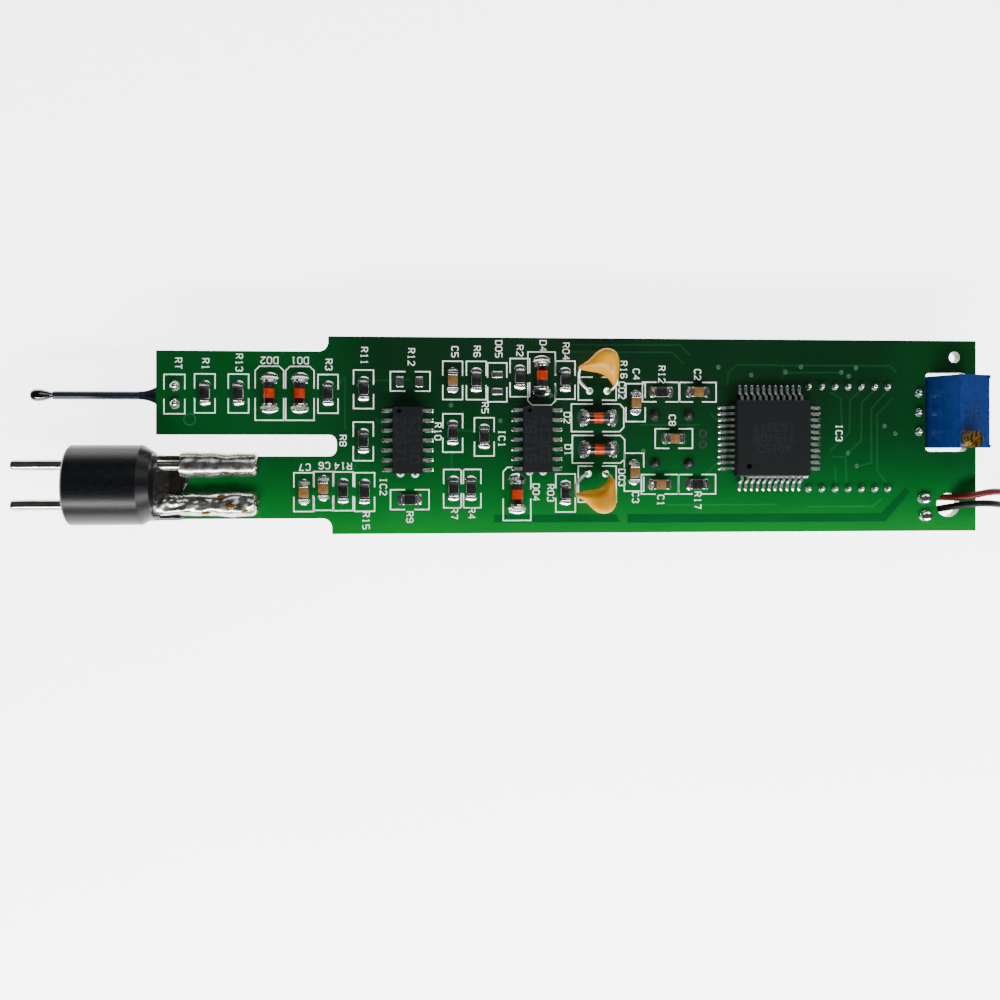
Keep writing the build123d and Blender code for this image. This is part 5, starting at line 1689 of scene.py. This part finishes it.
# ---------------------------------------------------------------- battery leads
@dataclass
class BatteryLeads:
    """Two thin leads that leave through the wire hole, run over the board's edge and end in a tied hank.

    Attributes:
        diameter: Width over the insulation.
        fold_x: Where the hank folds back.
        fold_y: Middle of the fold.
        start_x: Where the hank starts.
        low: Height of the leads' middle where they lie.
        black: Route of the black lead from the wire hole to the hank.
        red: Route of the red lead from the wire hole to the hank.
    """

    diameter: float = 0.9
    fold_x: float = 88.9
    fold_y: float = -6.8
    start_x: float = 75.4
    low: float = 0.7
    black: tuple[Point, ...] = (
        (58.70, -9.60, 6.0), (59.615, -9.262, 7.631), (61.5, -9.0, 7.95), (63.6, -8.95, 7.65),
        (65.7, -9.15, 6.75), (67.6, -9.4, 5.35), (69.3, -9.5, 3.7), (71.1, -9.4, 2.0), (73.2, -9.15, 0.85),
        (75.4, -9.05, 0.7),
    )
    red: tuple[Point, ...] = (
        (59.35, -8.25, 6.0), (60.298, -8.225, 7.647), (62.2, -7.75, 7.95), (64.3, -7.4, 7.7),
        (66.4, -7.5, 6.75), (68.2, -7.8, 5.3), (69.8, -8.05, 3.65), (71.5, -8.2, 2.0), (73.4, -8.2, 0.85),
        (75.4, -8.15, 0.7),
    )

    def hank(self, row: float) -> list[Point]:
        """Fold one lead back on itself.

        Args:
            row: Place in Y at which its fold starts.

        Returns:
            Control points of the fold.
        """
        radius, steps = self.fold_y - row, 6
        reach = self.fold_x - self.start_x
        points = [(self.start_x + reach * t, row, self.low) for t in (0.35, 0.7)]
        # A half circle's control points stand a little outside it, so the curve runs on it.
        swell = radius / math.cos(math.pi / steps / 2)
        for i in range(steps):
            turn = -math.pi / 2 + math.pi * (i + 0.5) / steps
            points.append((self.fold_x + swell * math.cos(turn), self.fold_y + swell * math.sin(turn), self.low))
        return points + [(self.start_x + reach * t, self.fold_y + radius, self.low) for t in (0.7, 0.35, 0.0)]

    def length(self, points: Sequence[Point]) -> float:
        """Measure a smooth line on the curve itself.

        Args:
            points: Its control points in millimetres.

        Returns:
            Its length in metres.
        """
        data = nurbs("measure", points)
        found = data.splines[0].calc_length()
        bpy.data.curves.remove(data)
        return found

    def build(self) -> None:
        """Make both leads, their roots, their bare ends and the tie."""
        for colour, finish, route in (("black", BLACK_PVC, self.black), ("red", RED_PVC, self.red)):
            points = list(route) + self.hank(route[-1][1])
            replaced = [f"battery_lead_{colour}"]
            if colour == "black":
                dress(TIE_BAND, "lead_tie")
                replaced.append("lead_hank")
            lead = Shop.wire(f"{colour}_lead", points, self.diameter, finish, f"pvc_{colour}", replaced)
            dress(TINNED_LEAD, f"tinned_end_{colour}")
            dress(finish, f"battery_lead_root_{colour}")
            self.length(points)
            LOG.info("%s lead: %.1f mm", colour, self.length(points) / MM)
        Joints("battery_joints", lead=0.42, sink=0.1, long=1.35).build()


# ---------------------------------------------------------------- studio
@dataclass
class Studio:
    """White floor, soft light and the camera.

    Attributes:
        centre: Where the camera stands.
        tilt: Angle in radians that it leans along the board.
        lens: Focal length on a 36 mm sensor.
        shift: How far the frame is moved across the lens's axis.
        reach: Half of the floor's side.
        ambient: Strength of the light from all round.
        lamps: Name, place, aim, width, height, power in watts and sRGB colour of each soft box.
    """

    centre: Point = (-13.56, -1.9, 160.8)
    tilt: float = 0.0796
    lens: float = 43.02
    shift: float = -0.05
    reach: float = 3000.0
    ambient: float = 0.06
    lamps: tuple[tuple, ...] = (
        ("key", (50, -125, 102), (10, 0, 4), 230, 34, 0.7, "#ffffff"),
        ("streak", (-90, -125, 98), (-50, 0, 8), 50, 18, 0.22, "#ffffff"),
        ("fill", (30, 210, 330), (0, 0, 0), 240, 160, 0.3, "#f4f8ff"),
        ("edge", (280, 230, 260), (30, 0, 0), 160, 160, 0.35, "#ffffff"),
    )

    def camera(self) -> None:
        """Stand the camera above the board, leaning a little along it."""
        data = bpy.data.cameras.new("Camera")
        data.lens = self.lens
        data.sensor_width = 36.0
        data.shift_y = self.shift
        data.clip_start = 0.01
        eye = shown("Camera", data)
        eye.location = Vector(self.centre) * MM
        forward = Vector((math.sin(self.tilt), 0, -math.cos(self.tilt)))
        right = Vector((math.cos(self.tilt), 0, math.sin(self.tilt)))
        eye.rotation_euler = Matrix((right, right.cross(forward), -forward)).transposed().to_euler()
        bpy.context.scene.camera = eye

    def floor(self) -> None:
        """Lay a wide white sheet under the part."""
        made = bmesh.new()
        slab(made, rectangle(-self.reach, -self.reach, self.reach, self.reach), -2.0, 1.99)
        sheet = shown("floor", to_data("floor", made))
        sheet.data.materials.append(STUDIO_FLOOR.material())

    def lamp(self, name: str, place: Point, aim: Point, wide: float, tall: float, power: float,
             colour: str) -> None:
        """Hang one soft box.

        Args:
            name: Name of the lamp.
            place: Where it hangs, in millimetres.
            aim: Where it points.
            wide: Width of the soft box in millimetres, along the part where it hangs before it.
            tall: Height of the soft box in millimetres.
            power: Its power in watts.
            colour: Its sRGB colour.
        """
        data = bpy.data.lights.new(name, "AREA")
        data.shape = "RECTANGLE"
        data.size, data.size_y = wide * MM, tall * MM
        data.energy = power
        data.color = linear_colour(colour)[:3]
        lamp = shown(name, data)
        lamp.location = Vector(place) * MM
        lamp.rotation_euler = (Vector(aim) - Vector(place)).to_track_quat("-Z", "Y").to_euler()

    def build(self) -> None:
        """Set up the camera, the floor and the light."""
        self.camera()
        self.floor()
        for lamp in self.lamps:
            self.lamp(*lamp)
        world = bpy.data.worlds.new("Studio")
        bpy.context.scene.world = world
        world.use_nodes = True
        ground = world.node_tree.nodes["Background"]
        ground.inputs["Color"].default_value = linear_colour("#ffffff")
        ground.inputs["Strength"].default_value = self.ambient
        LOG.info("studio: camera, floor and %d soft boxes", len(self.lamps))


# Outline of the upper dipped capacitor; the lower one is its mirror image.
DROP = (
    (-3.55, -0.5), (-2.6, 0.0), (-1.7, 0.6), (-0.9, 1.55), (0.1, 2.1), (1.4, 1.9), (2.1, 1.1), (2.25, -0.3),
    (2.2, -1.8), (1.85, -3.1), (1.35, -2.5), (0.7, -1.6), (-0.4, -1.05), (-2.0, -0.95),
)


def main() -> None:
    """Build the studio, the leads and then every part of the board."""
    logging.basicConfig(level=logging.INFO, format="%(name)s: %(message)s")
    for part in (Studio(), BatteryLeads(), CircuitBoard(), Probe(), Thermistor()):
        part.build()
    ChipParts("chip_resistors", ALUMINA, "alumina", glazed=True).build()
    ChipParts("chip_capacitors", CAPACITOR_CERAMIC, "ceramic_tan").build()
    for node, tag in DIODE_TAGS.items():
        GlassDiode(node, tag.end).build()
    Package("amplifier_left", (0.22, 0.93), 0.3, ("53140", "20871"), -90, 1.25).build()
    Package("amplifier_right", (0.22, 0.93), 0.3, ("41302", "78215"), -90, 1.25).build()
    Package("controller", (0.17, 0.13), 0.38, ("40153", "215408", "153047"), 180, 0.95).build()
    for place, side in (("upper", 1), ("lower", -1)):
        outline = tuple((x, side * y) for x, y in DROP)
        DippedCapacitor(f"dipped_capacitor_{place}", outline, (0.6, side * 0.35), side * 0.35, side).build()
    for part in (Trimmer(), Display(), PushSwitch()):
        part.build()


if __name__ == "__main__":
    main()
